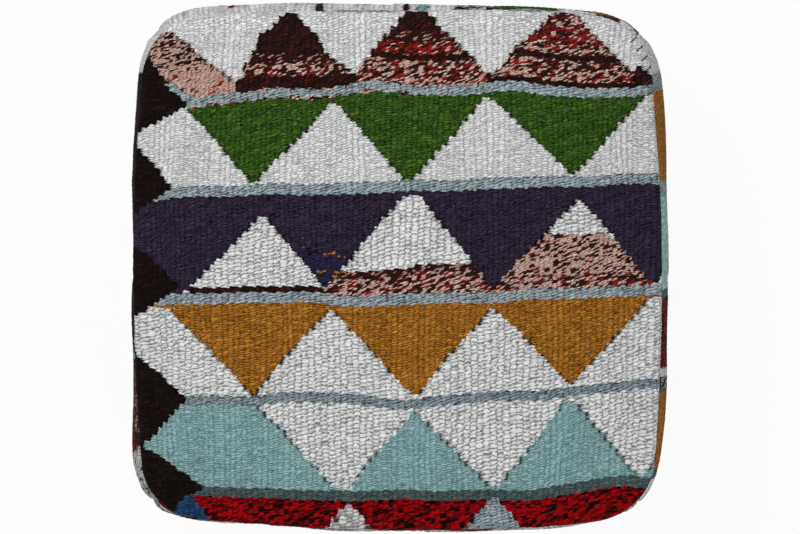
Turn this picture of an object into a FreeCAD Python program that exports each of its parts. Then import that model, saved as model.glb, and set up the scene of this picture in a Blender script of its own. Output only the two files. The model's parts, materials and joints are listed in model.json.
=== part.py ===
"""A square kilim pouf: a woven cover sewn from five panels, a canvas base with a zip, and a filled inner bag.

The frame is millimetres with +Z up. The origin is the middle of the base, +X is the right side,
and +Y is the back, where the zip closes the cover just above the base.
"""

import FreeCAD
import Part
import math
import os
from dataclasses import dataclass, replace

import Sketcher

SIZES = (
    ("pouf_width", 560.0, "overall width, over the swell of the sides"),
    ("pouf_depth", 550.0, "overall depth, over the swell of the sides"),
    ("pouf_height", 300.0, "overall height, floor to the top of the crown"),
    ("side_bulge", 20.0, "how far a side swells past its top and base seams"),
    ("crown_height", 28.0, "rise of the top panel above the top seam"),
    ("seam_corner_radius", 62.0, "plan radius of the corners at the seams"),
    ("bulge_corner_radius", 72.0, "plan radius of the corners at the widest level"),
    ("base_bow_radius", 60000.0, "plan radius of a side at the base seam, all but straight"),
    ("bulge_bow_radius", 2800.0, "plan radius of a side at the widest level"),
    ("top_bow_radius", 4000.0, "plan radius of a side at the top seam"),
    ("base_edge_radius", 6.0, "rounding of the base cloth where it turns up"),
    ("kilim_thickness", 4.0, "thickness of the woven panels"),
    ("canvas_thickness", 2.5, "thickness of the base cloth"),
    ("calico_thickness", 1.0, "thickness of the inner bag's cloth"),
    ("thread_diameter", 1.0, "diameter of the seam thread"),
    ("thread_clearance", 0.1, "room between a seam thread and a panel's edge"),
    ("seat_clearance", 0.3, "room between a piece and what it rests on"),
    ("layer_clearance", 0.6, "room between the cover, the bag and the wadding"),
    ("zip_room", 14.0, "how far the filled bag draws in near the base, clear of the zip"),
    ("zip_room_height", 90.0, "height below which the filled bag draws in"),
    ("wadding_thickness", 12.0, "wadding between the foam and the bag at the base seam"),
    ("foam_top_thickness", 80.0, "thickness of the soft upper foam slab"),
    ("foam_corner_radius", 30.0, "rounding of the foam's upright edges"),
    ("zip_end_margin", 24.0, "straight seam left at each end of the tooth rows"),
    ("opening_clearance", 2.0, "room between the slider and the edges of its slit"),
    ("tape_width", 8.8, "width of one zip tape"),
    ("tape_thickness", 0.8, "thickness of the zip tapes"),
    ("tape_end", 4.0, "tape that runs on past each end of the slit"),
    ("tooth_pitch", 4.0, "spacing of the teeth along a row"),
    ("tooth_length", 1.7, "length of a tooth along the row"),
    ("tooth_reach", 3.7, "height of a tooth across the row"),
    ("tooth_depth", 2.6, "thickness of a tooth through the tape"),
    ("tooth_clasp", 2.0, "how far a tooth grips its tape"),
    ("tooth_slack", 0.05, "room between a tooth's jaws and the tape"),
    ("chain_gap", 1.8, "space between the two rows of teeth"),
    ("stop_length", 3.0, "length of the stops along the tape"),
    ("stop_depth", 4.4, "thickness of the stops, more than the slider lets by"),
    ("slider_length", 17.0, "length of the slider along the teeth"),
    ("slider_width", 14.0, "width of the slider across the teeth"),
    ("slider_wall", 1.6, "thickness of the slider's plates"),
    ("slider_clearance", 0.3, "running room between the slider and the chain"),
    ("slider_corner_radius", 3.0, "rounding of the slider's corners"),
    ("bridge_length", 10.0, "length of the slider's bridge, which holds the pull"),
    ("bridge_width", 3.0, "width of the slider's bridge"),
    ("bridge_wall", 1.8, "thickness of the slider's bridge"),
    ("bar_diameter", 1.6, "diameter of the pull's bar"),
    ("bar_clearance", 0.25, "running room round the pull's bar"),
    ("pull_length", 24.0, "length of the pull from its bar to its tip"),
    ("pull_eye", 7.5, "length of the pull's eye"),
    ("pull_width", 8.4, "width of the pull"),
    ("pull_thickness", 1.4, "thickness of the pull"),
    ("pull_corner_radius", 3.2, "rounding of the pull's tip"),
)

# Fractions of a side panel's height at which its swell is drawn.
SIDE_STATIONS = (0.0, 0.1, 0.25, 0.5, 0.75, 0.9, 1.0)
# Angles, in degrees, of the points drawn along the crown from the seam to the middle.
CROWN_STATIONS = (0.0, 3.0, 10.0, 22.0, 38.0, 55.0, 70.0, 82.0, 89.5)
# Power of the crown's profile: 2 is an ellipse, more is flatter with a rounder edge.
CROWN_POWER = 3.0
# Degree of the curves through the drawn levels: cubic keeps the soft forms free of waves.
LOFT_DEGREE = 3
# How far a cutting shape runs on past what it cuts.
OVERCUT = 2.0
# Nearness at which an edge counts as lying on a plane or along an axis.
TOUCH = 1e-6

doc = FreeCAD.newDocument("KilimPouf")
sheet = doc.addObject("Spreadsheet::Sheet", "Sizes")
for row, (alias, number, meaning) in enumerate(SIZES, start=1):
    sheet.set(f"A{row}", meaning)
    sheet.set(f"B{row}", str(number))
    sheet.setAlias(f"B{row}", alias)
doc.recompute()

subparts = []


def size(alias):
    """The number that the sheet holds under an alias."""
    return float(sheet.get(alias))


def measure(expression):
    """The present number of an expression on the sheet."""
    return float(sheet.evalExpression(expression))


def keep(piece, label):
    """Name a finished piece and put it on the list of sub-parts."""
    piece.Label = label
    subparts.append(piece)
    return piece


# Expressions that several pieces share, so that what fits together moves together.
SEAM_GAP = "(Sizes.thread_diameter + 2 * Sizes.thread_clearance)"
BASE_HALF_WIDTH = "(Sizes.pouf_width / 2 - Sizes.side_bulge)"
BASE_HALF_DEPTH = "(Sizes.pouf_depth / 2 - Sizes.side_bulge)"
CLOTH_STEP = "(Sizes.kilim_thickness - Sizes.canvas_thickness)"
TOP_SEAM = "(Sizes.pouf_height - Sizes.crown_height)"
ZIP_RUN = f"(2 * ({BASE_HALF_WIDTH} - Sizes.seam_corner_radius - Sizes.zip_end_margin))"
ZIP_PLANE = (
    f"({BASE_HALF_DEPTH} - Sizes.kilim_thickness - Sizes.seat_clearance - Sizes.tape_thickness / 2)"
)
TOOTH_COUNT = f"floor({ZIP_RUN} / Sizes.tooth_pitch)"
OPENING_HALF = f"({ZIP_RUN} / 2 + Sizes.pull_length - Sizes.slider_length / 2 + Sizes.slider_clearance)"
OPENING_REACH = "(Sizes.slider_width / 2 + Sizes.opening_clearance)"
BAG_FLOOR = "(Sizes.canvas_thickness + Sizes.seat_clearance)"
FOAM_FLOOR = f"({BAG_FLOOR} + Sizes.calico_thickness + Sizes.seat_clearance)"
FOAM_INSET = (
    "(Sizes.kilim_thickness + 2 * Sizes.layer_clearance + Sizes.calico_thickness"
    " + Sizes.zip_room + Sizes.wadding_thickness)"
)
TAPE_EDGE = "(Sizes.chain_gap / 2 + Sizes.tooth_reach - Sizes.tooth_clasp)"
BASE_SEAM = f"(Sizes.base_edge_radius + Sizes.seat_clearance + Sizes.tape_width + {TAPE_EDGE})"
TOOTH_TIP = "(Sizes.chain_gap / 2)"
TOOTH_ROOT = "(Sizes.chain_gap / 2 + Sizes.tooth_reach)"
CHANNEL_HALF = "(Sizes.tooth_depth / 2 + Sizes.slider_clearance)"
PLATE_FACE = f"({CHANNEL_HALF} + Sizes.slider_wall)"
BRIDGE_GAP = "(Sizes.bar_diameter + 2 * Sizes.bar_clearance)"
BAR_HEIGHT = f"({PLATE_FACE} + Sizes.bar_clearance + Sizes.bar_diameter / 2)"
SLIDER_REST = f"({ZIP_RUN} / 2 - Sizes.slider_length / 2 - Sizes.slider_clearance)"


@dataclass(frozen=True)
class Outline:
    """A level outline of the pouf: a square with bowed sides and rounded corners, all tangent arcs."""

    half_width: float
    half_depth: float
    corner: float
    bow: float
    level: float

    def inset(self, distance):
        """The same outline drawn in by a distance all round."""
        return replace(
            self,
            half_width=self.half_width - distance,
            half_depth=self.half_depth - distance,
            corner=self.corner - distance,
            bow=self.bow - distance,
        )

    def scaled(self, share, level):
        """The same outline at another level, shrunk towards the middle."""
        return Outline(
            self.half_width * share, self.half_depth * share, self.corner * share, self.bow * share, level
        )

    def corner_centre(self):
        """Centre of the corner arc between the right and back sides."""
        across = self.bow - self.half_width
        along = self.bow - self.half_depth
        span = math.hypot(across, along)
        lift = math.sqrt((self.bow - self.corner) ** 2 - span**2 / 4)
        return (-across / 2 + lift * along / span, -along / 2 + lift * across / span)

    def corner_angles(self):
        """Angles at which the corner arc meets the right side and the back side."""
        x, y = self.corner_centre()
        first = math.atan2(y, x - (self.half_width - self.bow))
        last = math.atan2(y - (self.half_depth - self.bow), x)
        return first, last

    def on_corner(self, angle):
        """The point of the right back corner's arc at an angle."""
        x, y = self.corner_centre()
        return (x + self.corner * math.cos(angle), y + self.corner * math.sin(angle))

    def point(self, pair, sign_x=1, sign_y=1):
        """A vector at this level, from a pair mirrored into a quadrant."""
        return FreeCAD.Vector(pair[0] * sign_x, pair[1] * sign_y, self.level)

    def ring(self):
        """The whole outline as a closed wire of eight arcs."""
        first, last = self.corner_angles()
        meet_side = self.on_corner(first)
        meet_back = self.on_corner(last)
        middle = self.on_corner((first + last) / 2)
        right = (self.half_width, 0.0)
        back = (0.0, self.half_depth)
        stations = (
            (meet_side, 1, -1), (right, 1, 1), (meet_side, 1, 1), (middle, 1, 1),
            (meet_back, 1, 1), (back, 1, 1), (meet_back, -1, 1), (middle, -1, 1),
            (meet_side, -1, 1), (right, -1, 1), (meet_side, -1, -1), (middle, -1, -1),
            (meet_back, -1, -1), (back, 1, -1), (meet_back, 1, -1), (middle, 1, -1),
        )
        points = [self.point(*station) for station in stations]
        points.append(points[0])
        arcs = [Part.Arc(*points[i : i + 3]).toShape() for i in range(0, len(points) - 1, 2)]
        return Part.Wire(arcs)

    def side_points(self, side, seam_gap):
        """Seven points along one side, from a corner seam to the next, with room for the seam thread."""
        first, last = self.corner_angles()
        seam = (first + last) / 2
        turn = seam_gap / 2 / self.corner
        along_y = side in ("right", "left")
        meet = first if along_y else last
        stop = seam - turn if along_y else seam + turn
        crest = (self.half_width, 0.0) if along_y else (0.0, self.half_depth)
        end = self.on_corner(stop)
        bend = self.on_corner((stop + meet) / 2)
        joint = self.on_corner(meet)
        sign = 1 if side in ("right", "back") else -1
        near = (sign, 1) if along_y else (1, sign)
        far = (sign, -1) if along_y else (-1, sign)
        stations = ((end, near), (bend, near), (joint, near), (crest, near), (joint, far), (bend, far), (end, far))
        return [self.point(pair, *signs) for pair, signs in stations]


def side_share(level):
    """Place of a level between the base seam, 0, and the top seam, 1."""
    low = measure(BASE_SEAM)
    high = size("pouf_height") - size("crown_height")
    return (level - low) / (high - low)


def side_outline(level):
    """The outside of the cover at a level of its sides."""
    share = side_share(level)
    drawn_in = (2 * share - 1) ** 2
    bowed = max(share, 0.0)
    bends = [1 / size(name) for name in ("base_bow_radius", "bulge_bow_radius", "top_bow_radius")]
    bend = (
        bends[0] * (2 * bowed - 1) * (bowed - 1)
        + bends[1] * 4 * bowed * (1 - bowed)
        + bends[2] * bowed * (2 * bowed - 1)
    )
    corner_drop = size("bulge_corner_radius") - size("seam_corner_radius")
    return Outline(
        half_width=size("pouf_width") / 2 - size("side_bulge") * drawn_in,
        half_depth=size("pouf_depth") / 2 - size("side_bulge") * drawn_in,
        corner=size("bulge_corner_radius") - corner_drop * drawn_in,
        bow=1 / bend,
        level=level,
    )


def top_seam_level():
    """Height of the seam round the top panel."""
    return size("pouf_height") - size("crown_height")


def seam_gap():
    """Height of the slot that a seam thread lies in."""
    return size("thread_diameter") + 2 * size("thread_clearance")


def stations_between(low, high):
    """Levels at which a side is drawn, from its lower edge to its upper one."""
    return [low + (high - low) * share for share in SIDE_STATIONS]


def loft(wires):
    """A smooth solid through closed wires."""
    return Part.makeLoft(wires, True, False, False, LOFT_DEGREE)


def crown(inset, floor, cut_below=0.0):
    """A crowned solid over the top seam's outline, drawn in by a distance, with a flat underside."""
    edge = side_outline(top_seam_level()).inset(inset)
    rise = size("pouf_height") - inset - floor
    outlines = []
    for station in CROWN_STATIONS:
        angle = math.radians(station)
        share = math.cos(angle) ** (2 / CROWN_POWER)
        lift = math.sin(angle) ** (2 / CROWN_POWER)
        outlines.append(edge.scaled(share, floor + rise * lift))
    solid = loft([outline.ring() for outline in outlines])
    if cut_below:
        skirt = Part.Face(edge.scaled(1.0, floor - cut_below).ring())
        solid = solid.fuse(skirt.extrude(FreeCAD.Vector(0, 0, cut_below)))
    return solid


def shell_crown(inset, thickness, floor):
    """A crowned sheet of even thickness, open underneath."""
    return crown(inset, floor).cut(crown(inset + thickness, floor, OVERCUT))


def feature(label, shape):
    """A sub-part whose shape is lofted from the sheet's sizes."""
    piece = doc.addObject("Part::Feature", label)
    piece.Shape = shape
    piece.Placement = FreeCAD.Placement()
    return piece


def side_panel(side):
    """One woven side, from the base seam to the top seam and from corner seam to corner seam."""
    thickness = size("kilim_thickness")
    low = measure(BASE_SEAM) + seam_gap() / 2
    high = top_seam_level() - seam_gap() / 2
    wires = []
    for level in stations_between(low, high):
        outside = side_outline(level)
        outer = outside.side_points(side, seam_gap())
        inner = outside.inset(thickness).side_points(side, seam_gap())
        inner.reverse()
        edges = [Part.Arc(*outer[i : i + 3]).toShape() for i in (0, 2, 4)]
        edges.append(Part.LineSegment(outer[-1], inner[0]).toShape())
        edges += [Part.Arc(*inner[i : i + 3]).toShape() for i in (0, 2, 4)]
        edges.append(Part.LineSegment(inner[-1], outer[0]).toShape())
        wires.append(Part.Wire(edges))
    return loft(wires)


def ring_thread(outline, depth):
    """A closed ring of thread that follows an outline at a depth below the cloth's face."""
    path = outline.inset(depth).ring()
    start = path.Edges[0].Vertexes[0].Point
    along = path.Edges[0].tangentAt(path.Edges[0].FirstParameter)
    section = Part.Wire(Part.makeCircle(size("thread_diameter") / 2, start, along))
    return path.makePipeShell([section], True, True)


def corner_threads():
    """The four upright threads that join the side panels, one at each corner."""
    depth = size("kilim_thickness") / 2
    low = measure(BASE_SEAM) + seam_gap() / 2
    high = top_seam_level() - seam_gap() / 2
    threads = []
    for sign_x, sign_y in ((1, 1), (-1, 1), (-1, -1), (1, -1)):
        sections = []
        for level in stations_between(low, high):
            outline = side_outline(level).inset(depth)
            centre = outline.point(outline.on_corner(sum(outline.corner_angles()) / 2), sign_x, sign_y)
            sections.append(Part.Wire(Part.makeCircle(size("thread_diameter") / 2, centre)))
        threads.append(loft(sections))
    return Part.makeCompound(threads)


def bag_outline(level):
    """The outside of the filled bag at a level: close under the cover, drawn in near the zip."""
    short = max(0.0, 1 - level / size("zip_room_height"))
    inset = size("kilim_thickness") + size("layer_clearance") + size("zip_room") * short**2
    return side_outline(level).inset(inset)


def bag_levels(low, high):
    """Levels at which the filled bag is drawn, closer together where it draws in."""
    turn = size("zip_room_height")
    lower = [low + (turn - low) * share for share in (0.0, 0.25, 0.5, 0.75, 1.0)]
    upper = [turn + (high - turn) * share for share in (0.3, 0.6, 0.85, 1.0)]
    return lower + upper


def filled_form(inset, low, high):
    """A solid that follows the bag's outside, drawn in by a distance."""
    return loft([bag_outline(level).inset(inset).ring() for level in bag_levels(low, high)])


def add_box(name, length, width, height, corner):
    """A box sub-part whose sizes and corner are bound to the sheet."""
    box = doc.addObject("Part::Box", name)
    box.setExpression("Length", length)
    box.setExpression("Width", width)
    box.setExpression("Height", height)
    for axis, place in zip("xyz", corner):
        box.setExpression(f"Placement.Base.{axis}", place)
    return box


def add_cut(name, base, tool):
    """A cut of one object by another."""
    cut = doc.addObject("Part::Cut", name)
    cut.Base = base
    cut.Tool = tool
    return cut


def add_body(name):
    """A body, with its origin planes and axes by their role."""
    body = doc.addObject("PartDesign::Body", name)
    planes = {item.Role: item for item in body.Origin.OriginFeatures}
    return body, planes


def place_body(body, x, y, z):
    """Bind a body's place to the sheet."""
    for axis, place in zip("xyz", (x, y, z)):
        body.setExpression(f"Placement.Base.{axis}", place)


def add_sketch(body, plane, name, loops):
    """A sketch of closed straight-sided loops, each corner bound to the sheet by two expressions."""
    sketch = body.newObject("Sketcher::SketchObject", name)
    sketch.AttachmentSupport = [(plane, "")]
    sketch.MapMode = "FlatFace"
    for loop in loops:
        corners = [FreeCAD.Vector(measure(x), measure(y), 0) for x, y in loop]
        first = sketch.GeometryCount
        count = len(corners)
        for i in range(count):
            sketch.addGeometry(Part.LineSegment(corners[i], corners[(i + 1) % count]), False)
        for i in range(count):
            line = first + i
            sketch.addConstraint(Sketcher.Constraint("Coincident", line, 2, first + (i + 1) % count, 1))
        for i, (x, y) in enumerate(loop):
            bind_coordinate(sketch, "DistanceX", first + i, x)
            bind_coordinate(sketch, "DistanceY", first + i, y)
    doc.recompute()
    return sketch


def bind_coordinate(sketch, kind, line, expression):
    """Hold one coordinate of a line's first end to an expression on the sheet."""
    index = sketch.addConstraint(Sketcher.Constraint(kind, -1, 1, line, 1, measure(expression)))
    name = f"{kind}_{line}"
    sketch.renameConstraint(index, name)
    sketch.setExpression(f"Constraints.{name}", expression)


def rectangle(low_x, low_y, high_x, high_y):
    """The four corners of a rectangle, as pairs of expressions."""
    return ((low_x, low_y), (high_x, low_y), (high_x, high_y), (low_x, high_y))


def add_pad(body, sketch, name, length, symmetric=False, reversed_way=False):
    """A pad of a sketch, with its length bound to the sheet."""
    pad = body.newObject("PartDesign::Pad", name)
    pad.Profile = sketch
    pad.setExpression("Length", length)
    pad.SideType = "Symmetric" if symmetric else "One side"
    pad.Reversed = reversed_way
    body.Tip = pad
    doc.recompute()
    return pad


def add_pocket(body, sketch, name, length, symmetric=False, reversed_way=False):
    """A pocket of a sketch, checked to have cut something."""
    before = body.Shape.Volume
    pocket = body.newObject("PartDesign::Pocket", name)
    pocket.Profile = sketch
    pocket.setExpression("Length", length)
    pocket.SideType = "Symmetric" if symmetric else "One side"
    pocket.Reversed = reversed_way
    body.Tip = pocket
    doc.recompute()
    if body.Shape.Volume >= before:
        raise RuntimeError(f"{name} cut nothing from {body.Name}")
    return pocket


def add_fillet(body, base, name, radius, wanted):
    """A fillet of the edges of a feature that a test picks out."""
    edges = [f"Edge{i}" for i, edge in enumerate(base.Shape.Edges, start=1) if wanted(edge)]
    fillet = body.newObject("PartDesign::Fillet", name)
    fillet.Base = (base, edges)
    fillet.setExpression("Radius", radius)
    body.Tip = fillet
    doc.recompute()
    return fillet


def runs_along(axis):
    """A test for straight edges that run along an axis."""

    def test(edge):
        straight = edge.Curve.TypeId == "Part::GeomLine"
        return straight and abs(abs(edge.Curve.Direction.dot(axis)) - 1) < TOUCH

    return test


def lies_on_floor(edge):
    """Whether an edge lies in the plane of the floor."""
    return edge.BoundBox.ZMax < TOUCH


def woven_cover():
    """The top panel, four sides and the threads that sew them."""
    top = shell_crown(0.0, size("kilim_thickness"), top_seam_level() + seam_gap() / 2)
    keep(feature("TopPanel", top), "kilim_top")
    for side in ("front", "right", "left"):
        keep(feature(f"{side.capitalize()}Panel", side_panel(side)), f"kilim_{side}")
    back = feature("BackPanelWhole", side_panel("back"))
    slit = zip_slit("BackPanelSlit", f"{BASE_SEAM} + {OPENING_REACH}")
    keep(add_cut("BackPanel", back, slit), "kilim_back")

    middle_of_kilim = size("kilim_thickness") / 2
    top_thread = ring_thread(side_outline(top_seam_level()), middle_of_kilim)
    keep(feature("TopSeamThread", top_thread), "top_seam_thread")
    keep(feature("CornerSeamThreads", corner_threads()), "corner_seam_threads")
    depth = size("kilim_thickness") - size("canvas_thickness") / 2
    base_ring = feature("BaseSeamRing", ring_thread(side_outline(measure(BASE_SEAM)), depth))
    gap = zip_slit("BaseSeamSlit", f"{BASE_SEAM} + {OPENING_REACH}")
    keep(add_cut("BaseSeamThread", base_ring, gap), "base_seam_thread")


def zip_slit(name, upper_edge):
    """The slit at the back, from the floor up to an edge, that the zip lies in."""
    return add_box(
        name,
        length=f"2 * {OPENING_HALF}",
        width="Sizes.side_bulge + Sizes.seam_corner_radius",
        height=upper_edge,
        corner=(f"-{OPENING_HALF}", f"{BASE_HALF_DEPTH} - Sizes.seam_corner_radius", "0"),
    )


def base_cloth():
    """The canvas base: a flat cloth turned up at its edges, slit at the back for the zip."""
    body, planes = add_body("BaseCloth")
    half_x = f"({BASE_HALF_WIDTH} - {CLOTH_STEP})"
    half_y = f"({BASE_HALF_DEPTH} - {CLOTH_STEP})"
    cut = add_sketch(body, planes["XY_Plane"], "BaseCut", [rectangle(f"-{half_x}", f"-{half_y}", half_x, half_y)])
    height = f"{BASE_SEAM} - {SEAM_GAP} / 2"
    pad = add_pad(body, cut, "BaseBlank", height)
    upright = runs_along(FreeCAD.Vector(0, 0, 1))
    corners = add_fillet(body, pad, "BaseCorners", f"Sizes.seam_corner_radius - {CLOTH_STEP}", upright)
    turned = add_fillet(body, corners, "BaseTurn", "Sizes.base_edge_radius", lies_on_floor)

    upper = max(range(len(turned.Shape.Faces)), key=lambda i: turned.Shape.Faces[i].CenterOfMass.z)
    tray = body.newObject("PartDesign::Thickness", "BaseHollow")
    tray.Base = (turned, [f"Face{upper + 1}"])
    tray.setExpression("Value", "Sizes.canvas_thickness")
    tray.Reversed = True
    body.Tip = tray
    doc.recompute()

    slit = rectangle(f"-{OPENING_HALF}", f"{BASE_SEAM} - {OPENING_REACH}", OPENING_HALF, BASE_SEAM)
    sketch = add_sketch(body, planes["XZ_Plane"], "BaseSlit", [slit])
    add_pocket(body, sketch, "BaseOpening", "Sizes.pouf_depth / 2")
    keep(body, "base_cloth")


def inner_bag():
    """The calico bag that holds the filling: a crowned top, a band and a flat base."""
    gap = size("seat_clearance")
    calico = size("calico_thickness")
    inset = size("kilim_thickness") + size("layer_clearance")
    low = measure(BAG_FLOOR) + calico + gap
    high = top_seam_level() - gap / 2
    keep(feature("BagTop", shell_crown(inset, calico, top_seam_level() + gap / 2)), "inner_bag_top")
    band = filled_form(0.0, low, high).cut(filled_form(calico, low, high))
    keep(feature("BagBand", band), "inner_bag_band")
    floor = Part.Face(replace(bag_outline(low), level=measure(BAG_FLOOR)).ring())
    keep(feature("BagBase", floor.extrude(FreeCAD.Vector(0, 0, calico))), "inner_bag_base")


def foam_block(name, label, floor, height):
    """A foam block with rounded upright edges, centred on the pouf."""
    body, planes = add_body(name)
    half_x = f"({BASE_HALF_WIDTH} - {FOAM_INSET})"
    half_y = f"({BASE_HALF_DEPTH} - {FOAM_INSET})"
    corners = rectangle(f"-{half_x}", f"-{half_y}", half_x, half_y)
    sketch = add_sketch(body, planes["XY_Plane"], f"{name}Cut", [corners])
    pad = add_pad(body, sketch, f"{name}Blank", height)
    add_fillet(body, pad, f"{name}Edges", "Sizes.foam_corner_radius", runs_along(FreeCAD.Vector(0, 0, 1)))
    place_body(body, "0", "0", floor)
    keep(body, label)


def filling():
    """The foam blocks and the wadding that rounds them out."""
    foam_top_floor = f"{TOP_SEAM} - Sizes.seat_clearance / 2 - Sizes.foam_top_thickness"
    foam_block("FoamCore", "foam_core", FOAM_FLOOR, f"{foam_top_floor} - {FOAM_FLOOR}")
    foam_block("FoamTop", "foam_top_slab", foam_top_floor, "Sizes.foam_top_thickness")

    inset = size("calico_thickness") + size("layer_clearance")
    low = measure(FOAM_FLOOR)
    high = top_seam_level() - size("seat_clearance") / 2
    whole = feature("WaddingWhole", filled_form(inset, low, high))
    reach = f"({FOAM_INSET} - Sizes.seat_clearance)"
    room = add_box(
        "WaddingRoom",
        length=f"2 * ({BASE_HALF_WIDTH} - {reach})",
        width=f"2 * ({BASE_HALF_DEPTH} - {reach})",
        height="Sizes.pouf_height",
        corner=(f"{reach} - {BASE_HALF_WIDTH}", f"{reach} - {BASE_HALF_DEPTH}", "0"),
    )
    doc.recompute()
    rounded = doc.addObject("Part::Fillet", "WaddingRoomRounded")
    rounded.Base = room
    upright = runs_along(FreeCAD.Vector(0, 0, 1))
    radius = size("foam_corner_radius") + size("seat_clearance")
    rounded.Edges = [(i, radius, radius) for i, edge in enumerate(room.Shape.Edges, start=1) if upright(edge)]
    keep(add_cut("WaddingBand", whole, rounded), "wadding_band")
    crown_inset = size("kilim_thickness") + size("layer_clearance") + inset
    top = crown(crown_inset, top_seam_level() + size("seat_clearance") / 2)
    keep(feature("WaddingTop", top), "wadding_top")


def jaw_profile(depth):
    """The section of a tooth or stop: a block with a slot that grips the edge of its tape."""
    half = f"({depth} / 2)"
    slot = "(Sizes.tape_thickness / 2 + Sizes.tooth_slack)"
    grip = f"({TAPE_EDGE} - Sizes.tooth_slack)"
    return (
        (f"-{half}", TOOTH_TIP), (half, TOOTH_TIP), (half, TOOTH_ROOT), (slot, TOOTH_ROOT),
        (slot, grip), (f"-{slot}", grip), (f"-{slot}", TOOTH_ROOT), (f"-{half}", TOOTH_ROOT),
    )


def mirrored(profile):
    """A section turned over, from the upper row of teeth to the lower one."""
    return tuple((across, f"-{up}") for across, up in profile)


def zip_tapes():
    """The two woven tapes that carry the teeth."""
    length = f"(2 * {OPENING_HALF} + 2 * Sizes.tape_end)"
    outer = f"{ZIP_PLANE} - Sizes.tape_thickness / 2"
    edges = {
        "upper": f"{BASE_SEAM} + {TAPE_EDGE}",
        "lower": f"{BASE_SEAM} - {TAPE_EDGE} - Sizes.tape_width",
    }
    for row, edge in edges.items():
        tape = add_box(
            f"Tape{row.capitalize()}", length, "Sizes.tape_thickness", "Sizes.tape_width",
            corner=(f"-{length} / 2", outer, edge),
        )
        keep(tape, f"zip_tape_{row}")


def zip_teeth():
    """The two rows of teeth, the lower one half a pitch along from the upper one."""
    row_length = f"({TOOTH_COUNT} * Sizes.tooth_pitch)"
    starts = {
        "upper": f"-{row_length} / 2",
        "lower": f"-{row_length} / 2 + Sizes.tooth_pitch / 2",
    }
    for row, start in starts.items():
        body, planes = add_body(f"Teeth{row.capitalize()}")
        profile = jaw_profile("Sizes.tooth_depth")
        if row == "lower":
            profile = mirrored(profile)
        sketch = add_sketch(body, planes["YZ_Plane"], f"Tooth{row.capitalize()}", [profile])
        tooth = add_pad(body, sketch, f"ToothPad{row.capitalize()}", "Sizes.tooth_length")
        teeth = body.newObject("PartDesign::LinearPattern", f"ToothRow{row.capitalize()}")
        teeth.Originals = [tooth]
        teeth.Direction = (planes["X_Axis"], [""])
        teeth.Mode = "Spacing"
        teeth.setExpression("Offset", "Sizes.tooth_pitch")
        teeth.setExpression("Occurrences", TOOTH_COUNT)
        body.Tip = teeth
        place_body(body, start, ZIP_PLANE, BASE_SEAM)
        keep(body, f"zip_teeth_{row}")


def zip_stops():
    """The pair of stops at the closed end and the single stop at the open end."""
    body, planes = add_body("TopStops")
    profile = jaw_profile("Sizes.stop_depth")
    sketch = add_sketch(body, planes["YZ_Plane"], "TopStopCut", [profile, mirrored(profile)])
    add_pad(body, sketch, "TopStopPad", "Sizes.stop_length")
    place_body(body, f"{ZIP_RUN} / 2", ZIP_PLANE, BASE_SEAM)
    keep(body, "zip_top_stops")

    body, planes = add_body("BottomStop")
    half = "Sizes.stop_depth / 2"
    rise = f"({TAPE_EDGE} - Sizes.tooth_slack)"
    sketch = add_sketch(body, planes["YZ_Plane"], "BottomStopCut", [rectangle(f"-{half}", f"-{rise}", half, rise)])
    add_pad(body, sketch, "BottomStopPad", "Sizes.stop_length")
    place_body(body, f"-{ZIP_RUN} / 2 - Sizes.stop_length", ZIP_PLANE, BASE_SEAM)
    keep(body, "zip_bottom_stop")


def zip_slider():
    """The slider: two plates round the chain, joined by a post, with a bridge for the pull."""
    body, planes = add_body("Slider")
    half_x = "(Sizes.slider_length / 2)"
    half_z = "(Sizes.slider_width / 2)"
    outline = rectangle(f"-{half_x}", f"-{half_z}", half_x, half_z)
    sketch = add_sketch(body, planes["XZ_Plane"], "SliderCut", [outline])
    block = add_pad(body, sketch, "SliderBlock", f"2 * {PLATE_FACE}", symmetric=True)
    across = runs_along(FreeCAD.Vector(0, 1, 0))
    add_fillet(body, block, "SliderCorners", "Sizes.slider_corner_radius", across)

    post = f"({TOOTH_TIP} - Sizes.slider_clearance)"
    wall = f"({TOOTH_ROOT} + Sizes.slider_clearance)"
    slot = "(Sizes.tape_thickness / 2 + Sizes.slider_clearance)"
    edge = "Sizes.slider_width"
    channel = (
        (f"-{CHANNEL_HALF}", post), (CHANNEL_HALF, post), (CHANNEL_HALF, wall), (slot, wall),
        (slot, edge), (f"-{slot}", edge), (f"-{slot}", wall), (f"-{CHANNEL_HALF}", wall),
    )
    sketch = add_sketch(body, planes["YZ_Plane"], "SliderChannels", [channel, mirrored(channel)])
    add_pocket(body, sketch, "SliderChannel", "2 * Sizes.slider_length", symmetric=True)

    foot = f"({PLATE_FACE} - Sizes.slider_wall / 2)"
    under = f"({PLATE_FACE} + {BRIDGE_GAP})"
    over = f"({under} + Sizes.bridge_wall)"
    end = "(Sizes.bridge_length / 2)"
    leg = "(Sizes.bridge_length / 2 - Sizes.bridge_wall)"
    arch = (
        (f"-{end}", foot), (f"-{leg}", foot), (f"-{leg}", under), (leg, under),
        (leg, foot), (end, foot), (end, over), (f"-{end}", over),
    )
    sketch = add_sketch(body, planes["XY_Plane"], "BridgeCut", [arch])
    bridge = add_pad(body, sketch, "Bridge", "Sizes.bridge_width", symmetric=True)
    crest = measure(over)
    upright = runs_along(FreeCAD.Vector(0, 0, 1))

    def on_crest(edge):
        return upright(edge) and edge.BoundBox.YMin > crest - TOUCH

    add_fillet(body, bridge, "BridgeEdges", "Sizes.bridge_wall / 2", on_crest)
    place_body(body, SLIDER_REST, ZIP_PLANE, BASE_SEAM)
    keep(body, "zip_slider")


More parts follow.
